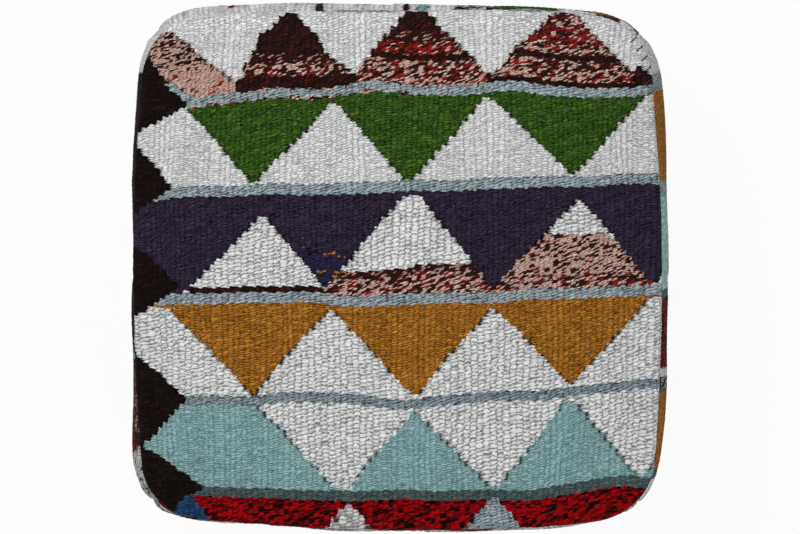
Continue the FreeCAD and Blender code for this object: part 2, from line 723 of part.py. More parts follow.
def zip_pull():
    """The pull: a flat tab with an eye, closed by a round bar that turns under the slider's bridge."""
    body, planes = add_body("Pull")
    tip = "-Sizes.pull_length"
    half = "(Sizes.pull_width / 2)"
    eye = "(Sizes.bridge_width / 2 + Sizes.bar_clearance)"
    end = "(Sizes.bar_diameter / 2)"
    tab = (
        (tip, f"-{half}"), (end, f"-{half}"), (end, f"-{eye}"), ("-Sizes.pull_eye", f"-{eye}"),
        ("-Sizes.pull_eye", eye), (end, eye), (end, half), (tip, half),
    )
    sketch = add_sketch(body, planes["XZ_Plane"], "PullCut", [tab])
    plate = add_pad(body, sketch, "PullPlate", "Sizes.pull_thickness", symmetric=True)
    tip_x = measure(tip)
    across = runs_along(FreeCAD.Vector(0, 1, 0))

    def at_tip(edge):
        return across(edge) and edge.BoundBox.XMax < tip_x + TOUCH

    add_fillet(body, plate, "PullTip", "Sizes.pull_corner_radius", at_tip)

    sketch = body.newObject("Sketcher::SketchObject", "BarCut")
    sketch.AttachmentSupport = [(planes["XY_Plane"], "")]
    sketch.MapMode = "FlatFace"
    middle = FreeCAD.Vector(0, 0, 0)
    sketch.addGeometry(Part.Circle(middle, FreeCAD.Vector(0, 0, 1), size("bar_diameter") / 2), False)
    sketch.addConstraint(Sketcher.Constraint("Coincident", 0, 3, -1, 1))
    index = sketch.addConstraint(Sketcher.Constraint("Diameter", 0, size("bar_diameter")))
    sketch.renameConstraint(index, "bar_width")
    sketch.setExpression("Constraints.bar_width", "Sizes.bar_diameter")
    doc.recompute()
    add_pad(body, sketch, "Bar", "Sizes.pull_width", symmetric=True)
    place_body(body, SLIDER_REST, f"{ZIP_PLANE} + {BAR_HEIGHT}", BASE_SEAM)
    keep(body, "zip_pull")


def check_and_write():
    """Stop on any failed object, then write each sub-part to its own file."""
    doc.recompute()
    for item in doc.Objects:
        if "Invalid" in item.State or "Error" in item.State:
            raise RuntimeError(f"{item.Name} is {item.State}")
    for piece in subparts:
        if piece.Shape.isNull() or not piece.Shape.isValid():
            raise RuntimeError(f"{piece.Label} has no valid shape")
    os.makedirs("parts", exist_ok=True)
    for piece in subparts:
        piece.Shape.exportStep(f"parts/{piece.Label}.step")
        box = piece.Shape.BoundBox
        print(
            f"{piece.Label}: {len(piece.Shape.Solids)} solids, {piece.Shape.Volume:.1f} mm3,"
            f" {box.XLength:.1f} x {box.YLength:.1f} x {box.ZLength:.1f} mm"
        )


woven_cover()
base_cloth()
inner_bag()
filling()
zip_tapes()
zip_teeth()
zip_stops()
zip_slider()
zip_pull()
check_and_write()
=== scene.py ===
"""Dressed kilim pouf: a woven cover sewn over a stuffed inner bag, with a canvas base and a brass zip."""

import json
import logging
import math
from dataclasses import dataclass
from enum import Enum

import bpy
import numpy as np
from bpy.types import Material, Mesh, Node, NodeSocket, NodeTree, Object, bpy_prop_collection
from mathutils import Matrix, Vector

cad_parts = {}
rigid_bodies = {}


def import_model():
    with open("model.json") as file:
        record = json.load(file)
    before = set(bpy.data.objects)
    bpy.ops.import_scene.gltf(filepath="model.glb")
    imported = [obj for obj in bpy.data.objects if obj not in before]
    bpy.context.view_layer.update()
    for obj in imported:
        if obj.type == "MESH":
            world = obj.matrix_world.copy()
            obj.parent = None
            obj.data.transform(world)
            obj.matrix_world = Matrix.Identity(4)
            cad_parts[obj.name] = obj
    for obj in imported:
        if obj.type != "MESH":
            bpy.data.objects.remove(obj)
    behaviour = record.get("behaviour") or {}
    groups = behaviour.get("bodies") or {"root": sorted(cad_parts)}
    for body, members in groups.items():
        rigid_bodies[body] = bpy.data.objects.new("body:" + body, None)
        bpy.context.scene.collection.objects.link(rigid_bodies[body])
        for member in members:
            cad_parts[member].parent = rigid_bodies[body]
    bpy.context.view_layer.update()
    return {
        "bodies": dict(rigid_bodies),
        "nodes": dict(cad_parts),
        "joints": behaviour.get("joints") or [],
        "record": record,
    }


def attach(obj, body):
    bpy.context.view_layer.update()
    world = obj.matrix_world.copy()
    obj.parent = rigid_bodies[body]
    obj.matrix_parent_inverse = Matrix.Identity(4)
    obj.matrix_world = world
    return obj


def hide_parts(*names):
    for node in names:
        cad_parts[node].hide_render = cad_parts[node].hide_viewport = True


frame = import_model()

LOG = logging.getLogger("kilim_pouf")
Array = np.ndarray
Colour = tuple[float, float, float]


# Helpers for selections, meshes and node trees


def clear_selection() -> None:
    """Leave edit mode and deselect every object."""
    if bpy.context.mode != "OBJECT":
        bpy.ops.object.mode_set(mode="OBJECT")
    bpy.ops.object.select_all(action="DESELECT")


def make_active(piece: Object) -> None:
    """Make one piece the only selected and the active object."""
    clear_selection()
    piece.select_set(True)
    bpy.context.view_layer.objects.active = piece


def linear(colour: Colour) -> Array:
    """Turn a colour as seen on a screen, each part 0 to 255, into linear light, each part 0 to 1."""
    seen = np.asarray(colour, float) / 255.0
    return np.where(seen <= 0.04045, seen / 12.92, ((seen + 0.055) / 1.055) ** 2.4)


def rgba(colour: Colour) -> tuple[float, float, float, float]:
    """Give a screen colour as the four linear numbers that a colour socket takes."""
    red, green, blue = linear(colour)
    return float(red), float(green), float(blue), 1.0


def set_all(thing: object, **settings: object) -> object:
    """Set several plain properties of a thing, and give it back."""
    for key, value in settings.items():
        setattr(thing, key, value)
    return thing


def apply_modifier(piece: Object, kind: str, **settings: float) -> None:
    """Shape a piece by one modifier."""
    make_active(piece)
    modifier = set_all(piece.modifiers.new(kind.lower(), kind), **settings)
    bpy.ops.object.modifier_apply(modifier=modifier.name)


def smooth_step(low: float, high: float, value: Array) -> Array:
    """Rise softly from 0 at low to 1 at high."""
    share = np.clip((value - low) / (high - low), 0.0, 1.0)
    return share * share * (3.0 - 2.0 * share)


def mesh_piece(name: str, points: Array, faces: list) -> Object:
    """Make a piece of points and faces, smooth all over, its place in its mesh.

    Args:
        name: the piece's name.
        points: one row of x, y, z for each vertex, in metres.
        faces: vertex numbers of each face.

    Returns:
        The new object.
    """
    mesh = bpy.data.meshes.new(name)
    mesh.from_pydata(np.asarray(points, float).tolist(), [], faces)
    mesh.validate()
    mesh.polygons.foreach_set("use_smooth", np.ones(len(mesh.polygons), bool))
    piece = bpy.data.objects.new(name, mesh)
    bpy.context.scene.collection.objects.link(piece)
    return piece


def loft(rings: list, tube: bool = False) -> tuple[Array, list]:
    """Join rings of equal length into one skin.

    Args:
        rings: arrays of points, each a closed ring; a ring of one point is a pole.
        tube: whether the last ring joins the first again.

    Returns:
        All points, and the faces between neighbouring rings.
    """
    points = np.concatenate(rings)
    starts = np.cumsum([0] + [len(ring) for ring in rings])
    pairs = [(k, k + 1) for k in range(len(rings) - 1)]
    if tube:
        pairs.append((len(rings) - 1, 0))
    faces = []
    for low, high in pairs:
        count = max(len(rings[low]), len(rings[high]))
        for m in range(count):
            n = (m + 1) % count
            below = [starts[low]] if len(rings[low]) == 1 else [starts[low] + m, starts[low] + n]
            above = [starts[high]] if len(rings[high]) == 1 else [starts[high] + n, starts[high] + m]
            faces.append([int(index) for index in below + above])
    return points, faces


def thread_rings(line: Array, radius: float, around: int = 6) -> list:
    """Give the rings of a thread along a line, drawn in at its ends."""
    ahead = np.gradient(line, axis=0)
    ahead /= np.linalg.norm(ahead, axis=1, keepdims=True)
    side = np.cross(ahead, (0.0, 0.0, 1.0))
    side /= np.linalg.norm(side, axis=1, keepdims=True)
    over = np.cross(side, ahead)
    turn = np.linspace(0.0, 2.0 * math.pi, around, endpoint=False)[:, None]
    rings = [point + radius * (np.cos(turn) * s + np.sin(turn) * o) for point, s, o in zip(line, side, over)]
    return [line[:1], *rings, line[-1:]]


def face_outwards(piece: Object) -> None:
    """Make all faces of a skin point outwards."""
    make_active(piece)
    bpy.ops.object.mode_set(mode="EDIT")
    bpy.ops.mesh.select_all(action="SELECT")
    bpy.ops.mesh.normals_make_consistent(inside=False)
    bpy.ops.object.mode_set(mode="OBJECT")


def dress(piece: Object, material: Material) -> None:
    """Give a piece one material in place of those it has."""
    piece.data.materials.clear()
    piece.data.materials.append(material)


def enter(piece: Object, node: str) -> None:
    """Tie a finished piece to the pouf's body and the solid it stands for.

    Args:
        piece: the finished piece.
        node: the solid that the piece replaces.
    """
    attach(piece, "pouf")
    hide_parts(node)
    LOG.info("%s: %d faces", piece.name, len(piece.data.polygons))


def read_all(items: bpy_prop_collection, name: str) -> Array:
    """Read a vector of each of a mesh's vertices, one row each."""
    found = np.empty(len(items) * 3)
    items.foreach_get(name, found)
    return found.reshape(-1, 3)


class Term:
    """An output in a node tree, to reckon with as if it were a number."""

    def __init__(self, bench: "Bench", socket: NodeSocket) -> None:
        """Keep the output and the bench that its tree lies on."""
        self.bench = bench
        self.socket = socket

    def __add__(self, other: object) -> "Term":
        """Add a number or another output."""
        return self.bench.math("ADD", self, other)

    def __sub__(self, other: object) -> "Term":
        """Take off a number or another output."""
        return self.bench.math("SUBTRACT", self, other)

    def __rsub__(self, other: float) -> "Term":
        """Take this output off a number."""
        return self.bench.math("SUBTRACT", other, self)

    def __mul__(self, other: object) -> "Term":
        """Multiply by a number or another output."""
        return self.bench.math("MULTIPLY", self, other)


class Bench:
    """A node tree under work, with short ways to add and join nodes."""

    def __init__(self, tree: NodeTree) -> None:
        """Keep the tree to work on."""
        self.tree = tree

    def add(self, kind: str, **settings: object) -> Node:
        """Add a node and set its plain properties."""
        return set_all(self.tree.nodes.new(kind), **settings)

    def fill(self, node: Node, values: dict) -> Node:
        """Join outputs to a node's sockets, by name or number, or set the sockets' own values."""
        for key, value in values.items():
            if isinstance(value, Term):
                self.tree.links.new(value.socket, node.inputs[key])
            else:
                node.inputs[key].default_value = value
        return node

    def made(self, kind: str, values: dict, output: int | str = 0, **settings: object) -> Term:
        """Add a node, fill its sockets and give one of its outputs."""
        return Term(self, self.fill(self.add(kind, **settings), values).outputs[output])

    def math(self, operation: str, first: object, second: object = 0.0, clamp: bool = False) -> Term:
        """Work out one sum of two numbers or outputs."""
        return self.made("ShaderNodeMath", {0: first, 1: second}, operation=operation, use_clamp=clamp)

    def blend(self, way: str, factor: object, first: object, second: object) -> Term:
        """Mix two colours in the given way."""
        values = {0: factor, 6: first, 7: second}
        return self.made("ShaderNodeMix", values, 2, data_type="RGBA", blend_type=way)

    def span(self, value: Term, low: float, high: float, to_low: float, to_high: float) -> Term:
        """Stretch a value from one range to another, held inside it."""
        return self.made("ShaderNodeMapRange", dict(enumerate((value, low, high, to_low, to_high))))

    def noise(self, vector: Term, scale: float, detail: float = 2.0, rough: float = 0.5) -> Term:
        """Give soft noise from 0 to 1 at a scale in turns per unit."""
        values = {"Vector": vector, "Scale": scale, "Detail": detail, "Roughness": rough}
        return self.made("ShaderNodeTexNoise", values, "Fac")

    def stretch(self, vector: Term, scale: tuple) -> Term:
        """Scale coordinates differently along their three directions."""
        return self.made("ShaderNodeMapping", {"Vector": vector, "Scale": scale})

    def parts(self, whole: Term, kind: str = "ShaderNodeSeparateXYZ") -> list[Term]:
        """Split a vector or a colour into its three numbers."""
        return [Term(self, socket) for socket in self.fill(self.add(kind), {0: whole}).outputs]

    def stored(self, name: str, output: str = "Vector") -> Term:
        """Read what is stored on the piece under a name."""
        return self.made("ShaderNodeAttribute", {}, output, attribute_name=name)

    def group(self, tree: NodeTree, *given: object) -> dict[str, Term]:
        """Place a shared effect, fill its inputs in order and give its outputs by name."""
        node = self.fill(self.add("ShaderNodeGroup", node_tree=tree), dict(enumerate(given)))
        return {socket.name: Term(self, socket) for socket in node.outputs}


def effect_group(name: str, amounts: tuple, outputs: tuple) -> tuple:
    """Start a shader node group that takes a place and some amounts.

    Args:
        name: the group's name.
        amounts: names of the inputs beside the place.
        outputs: names of the value outputs.

    Returns:
        The bench on the group, the node that takes its outputs, the place and the amounts.
    """
    tree = bpy.data.node_groups.new(name, "ShaderNodeTree")
    tree.interface.new_socket("Place", in_out="INPUT", socket_type="NodeSocketVector")
    for way, names in (("INPUT", amounts), ("OUTPUT", outputs)):
        for socket in names:
            tree.interface.new_socket(socket, in_out=way, socket_type="NodeSocketFloat")
    bench = Bench(tree)
    source = bench.add("NodeGroupInput")
    given = [Term(bench, source.outputs[socket]) for socket in ("Place", *amounts)]
    return bench, bench.add("NodeGroupOutput"), *given


# The form of the cover, as the solids have it


class Side(Enum):
    """The four upright panels, by the plan direction that each faces."""

    FRONT = (0.0, -1.0)
    RIGHT = (1.0, 0.0)
    BACK = (0.0, 1.0)
    LEFT = (-1.0, 0.0)

    @property
    def outward(self) -> Array:
        """The direction that the panel faces."""
        return np.array([self.value[0], self.value[1], 0.0])

    @property
    def along(self) -> Array:
        """The direction to the right along the panel, seen from outside."""
        return np.array([-self.value[1], self.value[0], 0.0])

    @property
    def faces_x(self) -> bool:
        """Whether the panel faces left or right."""
        return self.value[0] != 0.0


@dataclass(frozen=True)
class CoverForm:
    """Bowed, rounded outline at each height, and the crown over the top seam, in metres."""

    half_width: float = 0.28
    half_depth: float = 0.275
    drawn_in: float = 0.02
    corner_radius: float = 0.072
    corner_drawn: float = 0.01
    base_seam: float = 0.0177
    top_seam: float = 0.272
    seam_half: float = 0.0006
    crown_rise: float = 0.0274
    bow_base: float = 60.0
    bow_middle: float = 2.8
    bow_top: float = 4.0

    def outline(self, z: Array) -> tuple:
        """Give half width, half depth, corner radius and bow radius at a height."""
        share = np.clip((np.asarray(z, float) - self.base_seam) / (self.top_seam - self.base_seam), 0.0, 1.0)
        pull = (2.0 * share - 1.0) ** 2
        curve = (2.0 * share - 1.0) * (share - 1.0) / self.bow_base
        curve = curve + 4.0 * share * (1.0 - share) / self.bow_middle
        curve = curve + share * (2.0 * share - 1.0) / self.bow_top
        across = self.half_width - self.drawn_in * pull
        deep = self.half_depth - self.drawn_in * pull
        return across, deep, self.corner_radius - self.corner_drawn * pull, 1.0 / curve

    @staticmethod
    def corner(across: Array, deep: Array, radius: Array, bow: Array) -> tuple:
        """Place the corner arc that touches both bowed sides.

        Args:
            across: half width.
            deep: half depth.
            radius: corner radius.
            bow: radius of the bowed sides.

        Returns:
            The arc's centre, x and y, and the angles at which it meets the right and back sides.
        """
        wide, long = bow - across, bow - deep
        span = np.hypot(wide, long)
        lift = np.sqrt((bow - radius) ** 2 - span**2 / 4.0)
        x = -wide / 2.0 + lift * long / span
        y = -long / 2.0 + lift * wide / span
        return x, y, np.arctan2(y, x + wide), np.arctan2(y + long, x)

    def side_points(self, side: Side, share: Array, z: Array, inset: Array) -> Array:
        """Place points on an upright panel.

        Args:
            side: which panel.
            share: -1 at its left corner seam to 1 at its right one.
            z: height of each point.
            inset: how far inside the outline each point lies.

        Returns:
            The points, x, y and z last.
        """
        share, z, inset = np.broadcast_arrays(share, z, inset)
        across, deep, radius, bow = self.outline(z)
        x, y, first, last = self.corner(across, deep, radius, bow)
        middle = (first + last) / 2.0
        if side.faces_x:
            face, turn, end, out_centre, along_centre = across, first, middle, x, y
        else:
            face, turn, end, out_centre, along_centre = deep, math.pi / 2 - last, math.pi / 2 - middle, y, x
        straight = bow * turn
        way = np.minimum(np.abs(share), 1.0) * (straight + radius * (end - turn))
        on_side = way <= straight
        angle = np.where(on_side, way / bow, turn + (way - straight) / radius)
        reach = np.where(on_side, bow, radius) - inset
        out = np.where(on_side, face - bow, out_centre) + reach * np.cos(angle)
        run = (np.where(on_side, 0.0, along_centre) + reach * np.sin(angle)) * np.sign(share)
        points = out[..., None] * side.outward + run[..., None] * side.along
        points[..., 2] = z
        return points

    def perimeter(self, z: float, inset: float, each: int = 24) -> Array:
        """Give one closed ring of points round the cover, each panel in as many steps."""
        share = np.linspace(-1.0, 1.0, each, endpoint=False)
        return np.concatenate([self.side_points(side, share, z, inset) for side in Side])

    def gauge(self, x: Array, y: Array) -> Array:
        """Measure plan points against the top seam's outline: 0 in the middle, 1 on the seam."""
        across, deep, radius, bow = (float(size) for size in self.outline(self.top_seam))
        cx, cy, first, last = self.corner(across, deep, radius, bow)
        x, y = np.abs(x), np.abs(y)
        square = x * x + y * y
        low = math.atan2(bow * math.sin(first), across - bow + bow * math.cos(first))
        high = math.atan2(deep - bow + bow * math.sin(last), bow * math.cos(last))
        angle = np.arctan2(y, x)

        def bowed(reach: float, part: Array) -> Array:
            """Size of the outline through the point, where that is a bowed side."""
            lead, middle = reach * reach - 2.0 * reach * bow, 2.0 * part * (bow - reach)
            return (-middle - np.sqrt(middle * middle - 4.0 * lead * square)) / (2.0 * lead)

        lead = cx * cx + cy * cy - radius * radius
        dot = x * cx + y * cy
        rounded = (dot - np.sqrt(np.maximum(dot * dot - lead * square, 0.0))) / lead
        return np.where(angle < low, bowed(across, x), np.where(angle > high, bowed(deep, y), rounded))


# How cloth lies on the form


def spline_shares(part: Array) -> tuple:
    """Weigh the four nearest points of a smooth curve, part of the way from the second to the third."""
    square, cube = part**2, part**3
    before, after = (-part + 2.0 * square - cube) / 2.0, (cube - square) / 2.0
    return before, (2.0 - 5.0 * square + 3.0 * cube) / 2.0, (part + 4.0 * square - 3.0 * cube) / 2.0, after


@dataclass(frozen=True)
class FilledCorner:
    """A corner filled fuller or slacker than the even form.

    place is where it lies in plan, and seam and wall how far the top seam and the walls' middle move there,
    in metres.
    """

    place: tuple
    seam: tuple
    wall: tuple
    reach: float = 0.095

    def move(self, points: Array, share: Array) -> Array:
        """Movement of points that lie at shares of the way up from the base seam to the top seam."""
        away = points[..., :2] - np.array(self.place)
        near = np.exp(-(away**2).sum(axis=-1) / self.reach**2)
        by_seam = (near * share**2)[..., None] * np.array((*self.seam, 0.0))
        by_wall = (near * 4.0 * share * (1.0 - share))[..., None] * np.array((*self.wall, 0.0))
        return by_seam + by_wall


FILLED_CORNERS = (
    FilledCorner((-0.2, 0.235), (0.0, 0.001), (-0.0025, 0.006)),
    FilledCorner((-0.24, 0.195), (0.005, -0.002), (-0.003, 0.002), 0.07),
    FilledCorner((-0.145, 0.255), (0.0, 0.0022), (0.0, 0.0008), 0.085),
    FilledCorner((0.14, 0.255), (0.0, 0.0035), (0.0, -0.002)),
    FilledCorner((0.235, 0.195), (-0.006, -0.003), (0.001, 0.0)),
    FilledCorner((-0.215, -0.225), (0.003, 0.004), (-0.0105, 0.0015)),
    FilledCorner((-0.262, -0.222), (0.0, 0.0), (-0.0052, -0.001), 0.055),
    FilledCorner((-0.15, -0.268), (0.0, 0.0012), (0.0, 0.0028), 0.06),
    FilledCorner((0.16, -0.262), (0.0, -0.0036), (0.0, -0.002), 0.055),
    FilledCorner((0.2, -0.235), (-0.003, 0.0072), (0.0, 0.0016)),
)


@dataclass
class Stuffing:
    """The sewn cover blown out as cloth by its filling, its seams held, and how far each place moved.

    The cloth is a cage of rings, each panel in as many steps: the crown from the middle outwards and the
    walls from the top seam down.
    """

    form: CoverForm
    each: int = 36
    crown_steps: int = 20
    wall_steps: int = 18
    pressure: float = 4.0
    last_frame: int = 20
    furthest: float = 0.0045
    deepest: float = 0.0008
    stiffness: float = 80.0
    ease: float = 0.004
    even_foot: float = 0.012

    def __post_init__(self) -> None:
        """Start with a cover that hasn't moved."""
        self.around = self.each * len(Side)
        self.crown_moves = np.zeros((self.crown_steps + 1, self.around, 3))
        self.wall_moves = np.zeros((self.wall_steps + 1, self.around, 3))

    def rings(self) -> list:
        """Give the cage's rings, from the crown's middle over the top seam down to the middle of the base."""
        form = self.form
        seam = form.perimeter(form.top_seam, 0.0, self.each) * (1, 1, 0)
        rings = [np.array([[0.0, 0.0, form.top_seam + form.crown_rise]])]
        for step in range(1, self.crown_steps + 1):
            share = step / self.crown_steps
            rise = form.crown_rise * (1.0 - share**3) ** (1.0 / 3.0)
            rings.append(seam * share + (0, 0, form.top_seam + rise))
        for z in np.linspace(form.top_seam, form.base_seam, self.wall_steps + 1)[1:]:
            rings.append(form.perimeter(z, 0.0, self.each))
        return rings + [np.array([[0.0, 0.0, form.base_seam]])]

    def held(self) -> list[int]:
        """Give the points that the seams hold: the top and base seams, the corner seams and the base."""
        first = 1 + (self.crown_steps - 1) * self.around
        count = self.wall_steps * self.around
        corners = range(first, first + count, self.each)
        foot = range(first + count, first + count + self.around + 1)
        return [*range(first, first + self.around), *corners, *foot]

    def settle(self) -> None:
        """Blow the cage out as cloth, keep how far it moved and take it away."""
        scene = bpy.context.scene
        scene.frame_set(1)
        rest, faces = loft(self.rings())
        cage = mesh_piece("stuffed_cover_cage", rest, faces)
        face_outwards(cage)
        normal = read_all(cage.data.vertices, "normal")
        cage.vertex_groups.new(name="held").add(self.held(), 1.0, "REPLACE")
        cloth = cage.modifiers.new("stuffed", "CLOTH")
        set_all(
            cloth.settings, quality=6, vertex_group_mass="held", shrink_min=-self.ease,
            tension_stiffness=self.stiffness, compression_stiffness=self.stiffness,
            shear_stiffness=self.stiffness / 2.0, use_pressure=True, uniform_pressure_force=self.pressure)
        cloth.settings.effector_weights.gravity = 0.0
        cloth.collision_settings.use_collision = False
        cloth.point_cache.frame_end = self.last_frame
        for frame in range(1, self.last_frame + 1):
            scene.frame_set(frame)
        bpy.ops.object.modifier_apply(modifier=cloth.name)
        swell = ((read_all(cage.data.vertices, "co") - rest) * normal).sum(axis=1, keepdims=True)
        bpy.data.objects.remove(cage)
        scene.frame_set(1)
        LOG.info("stuffing moved the cover by up to %.1f mm", 1000 * swell.max())
        limit = np.where(swell > 0.0, self.furthest, self.deepest)
        move = normal * limit * np.tanh(swell / limit)
        self.crown_moves[0] = move[0]
        ringed = move[1:-1].reshape(-1, self.around, 3)
        self.crown_moves[1:] = ringed[:self.crown_steps]
        self.wall_moves[:] = ringed[self.crown_steps - 1:]

    @staticmethod
    def read(moves: Array, along: Array, around: Array) -> Array:
        """Read the movement between the cage's points.

        Args:
            moves: movements of the rings.
            along: place among the rings.
            around: place round the cover, in points.

        Returns:
            The movement at each place.
        """
        row, column = np.floor(along).astype(int), np.floor(around).astype(int)
        found = np.zeros(along.shape + (3,))
        across_shares = spline_shares(around - column)
        for down, share in zip(range(-1, 3), spline_shares(along - row)):
            ring = np.clip(row + down, 0, len(moves) - 1)
            for over, across_share in zip(range(-1, 3), across_shares):
                point = (column + over) % moves.shape[1]
                found += (share * across_share)[..., None] * moves[ring, point]
        return found

    def on_top(self, x: Array, y: Array, share: Array) -> Array:
        """Movement of the crown at plan places, at a share of the way from its middle to its seam."""
        seam = self.form.perimeter(self.form.top_seam, 0.0, self.each)
        angles = np.unwrap(np.arctan2(seam[:, 1], seam[:, 0]))
        angles = np.append(angles, angles[0] + 2.0 * math.pi)
        turn = angles[0] + (np.arctan2(y, x) - angles[0]) % (2.0 * math.pi)
        around = np.interp(turn, angles, np.arange(len(angles)))
        return self.read(self.crown_moves, np.clip(share, 0.0, 1.0) * self.crown_steps, around)

    def filled(self, points: Array) -> Array:
        """Put points of the even form where the unevenly filled corners bring them."""
        foot = self.form.base_seam + self.even_foot
        share = np.clip((points[..., 2] - foot) / (self.form.top_seam - foot), 0.0, 1.0)
        return points + sum(corner.move(points, share) for corner in FILLED_CORNERS)

    def on_wall(self, side: Side, share: Array, z: Array) -> Array:
        """Movement of an upright panel at shares of its length and at heights."""
        around = (list(Side).index(side) + (np.clip(share, -1.0, 1.0) + 1.0) / 2.0) * self.each
        down = (self.form.top_seam - z) / (self.form.top_seam - self.form.base_seam)
        return self.read(self.wall_moves, np.clip(down, 0.0, 1.0) * self.wall_steps, around)


@dataclass(frozen=True)
class Lie:
    """Slow undulation of stretched cloth and the small puckers beside its seams, in metres."""

    seed: int
    swell: float = 0.0014
    pucker: float = 0.0008
    pucker_reach: float = 0.022

    def lift(self, x: Array, y: Array, edge: Array) -> Array:
        """Work out how far the cloth stands off its form.

        Args:
            x: flat place across the cloth.
            y: flat place along the cloth.
            edge: distance to the nearest seam.

        Returns:
            The lift at each point.
        """
        draw = np.random.default_rng(self.seed)
        slow = np.zeros_like(x)
        for _ in range(7):
            turn, phase = draw.uniform(0, 2 * math.pi, 2)
            length = draw.uniform(0.11, 0.3)
            slow += np.sin((x * math.cos(turn) + y * math.sin(turn)) * 2 * math.pi / length + phase)
        small = np.zeros_like(x)
        for _ in range(6):
            phase, other = draw.uniform(0, 2 * math.pi, 2)
            length = draw.uniform(0.024, 0.06)
            small += np.sin(x * 2 * math.pi / length + phase) * np.sin(y * 2 * math.pi / length + other)
        near = np.exp(-np.maximum(edge, 0.0) / self.pucker_reach)
        return self.swell * slow / 2.6 * (1.0 - near) + self.pucker * small * near


@dataclass(frozen=True)
class SeamTurn:
    """How panels curl into their seams, in metres."""

    curl: float = 0.006
    depth: float = 0.0026
    lip: float = 0.005
    puff: float = 0.0
    puff_place: float = 0.009

    def inset(self, edge: Array) -> Array:
        """Give how far cloth is drawn in at a distance from its seam; past it, the lip goes straight in."""
        bend = self.depth * np.clip(1.0 - edge / self.curl, 0.0, 1.0) ** 2
        bend = bend - self.puff * np.exp(-(((edge - self.puff_place) / self.puff_place) ** 2))
        return np.where(edge >= 0.0, bend, self.depth - edge)


@dataclass(frozen=True)
class TopSurface:
    """Lays flat cloth over the crown."""

    form: CoverForm
    turn: SeamTurn
    lie: Lie
    stuffing: Stuffing

    def profile(self) -> tuple[Array, Array, Array]:
        """Give the crown's run from the middle outwards, with the plan share and the rise there."""
        angle = np.linspace(math.pi / 2, 0.0, 4001)
        plan = np.cos(angle) ** (2.0 / 3.0)
        rise = np.sin(angle) ** (2.0 / 3.0)
        steps = np.hypot(np.diff(plan) * self.half, np.diff(rise) * self.form.crown_rise)
        return np.concatenate([[0.0], np.cumsum(steps)]), plan, rise

    @property
    def half(self) -> float:
        """Mean half size of the top seam's outline."""
        across, deep, _, _ = self.form.outline(self.form.top_seam)
        return float(across + deep) / 2.0

    def edge(self, x: Array, y: Array) -> Array:
        """Distance to the seam along the cloth, negative past it."""
        run, _, _ = self.profile()
        return run[-1] - self.form.gauge(x, y) * self.half

    def place(self, x: Array, y: Array) -> Array:
        """Put flat cloth points on the crown, without the weave's relief."""
        run, plan, rise = self.profile()
        ring = np.maximum(self.form.gauge(x, y), 1e-9)
        way = ring * self.half
        edge = run[-1] - way
        share = np.interp(way, run, plan) - self.turn.inset(np.maximum(edge, -self.turn.lip)) / self.half
        height = np.interp(way, run, rise) * self.form.crown_rise
        height = height + self.lie.lift(x, y, edge) * (edge > 0)
        z = self.form.top_seam + self.form.seam_half + height
        points = np.stack([x / ring * share, y / ring * share, z], axis=-1)
        return self.stuffing.filled(points + self.stuffing.on_top(x, y, np.interp(way, run, plan)))


@dataclass(frozen=True)
class SideSurface:
    """Lays flat cloth over one upright panel."""

    form: CoverForm
    side: Side
    turn: SeamTurn
    corner_turn: SeamTurn
    lie: Lie
    stuffing: Stuffing
    opening_half: float = 0.0
    opening_top: float = 0.0267
    drawn_up: float = 0.06

    @property
    def half_length(self) -> float:
        """Half the panel's length along the cover at mid height."""
        z = (self.form.base_seam + self.form.top_seam) / 2.0
        share = np.linspace(-1.0, 1.0, 400)
        steps = np.diff(self.form.side_points(self.side, share, z, 0.0), axis=0)
        return float(np.linalg.norm(steps, axis=1).sum() / 2.0)

    def rise(self) -> tuple[Array, Array]:
        """Give the cloth's run up the panel and the height there."""
        form = self.form
        z = np.linspace(form.base_seam + form.seam_half, form.top_seam - form.seam_half, 400)
        across = form.outline(z)[0]
        return np.concatenate([[0.0], np.cumsum(np.hypot(np.diff(z), np.diff(across)))]), z

    @property
    def height(self) -> float:
        """The cloth's whole run from the base seam to the top seam."""
        return float(self.rise()[0][-1])

    def edge(self, x: Array, y: Array) -> Array:
        """Distance to the nearest seam along the cloth, negative past it."""
        return np.minimum(self.half_length - np.abs(x), self.height / 2.0 - np.abs(y))

    def place(self, x: Array, y: Array) -> Array:
        """Put flat cloth points on the panel, without the weave's relief."""
        run, heights = self.rise()
        z = np.interp(y + self.height / 2.0, run, heights)
        if self.opening_half:
            gap = 1.0 - smooth_step(self.opening_half - 0.001, self.opening_half + 0.007, np.abs(x))
            lift = self.opening_top - heights[0]
            z = z + lift * gap * np.clip(1.0 - (z - heights[0]) / self.drawn_up, 0.0, 1.0) ** 2
        edge = self.edge(x, y)
        level = self.turn.inset(np.maximum(self.height / 2.0 - np.abs(y), -self.turn.lip))
        upright = self.corner_turn.inset(np.maximum(self.half_length - np.abs(x), -self.turn.lip))
        inset = np.maximum(level, upright) - self.lie.lift(x, y, edge) * (edge > 0)
        points = self.form.side_points(self.side, x / self.half_length, z, inset)
        return self.stuffing.filled(points + self.stuffing.on_wall(self.side, x / self.half_length, z))


# The yarns and the chart they are woven to


@dataclass(frozen=True)
class Spin:
    """How a yarn is spun and lies: three shades, and the shares of beads up to the first and to the second.

    uneven is how much one bead differs from the next, gap how deep the painted shade between the beads is,
    pick how many beads it has where the cloth has one, and slant how many beads high each rises over its
    warp.
    """

    shades: tuple
    shares: tuple = (0.6, 0.85)
    uneven: float = 0.08
    gap: float = 0.8
    pick: float = 1.0
    slant: float = 0.4


def marl(shades: tuple, shares: tuple, uneven: float = 0.12, pick: float = 1.45, slant: float = 1.1) -> Spin:
    """Give a mottled yarn with deep painted shade in the gaps between its beads."""
    return Spin(shades, shares, uneven, 1.0, pick, slant)


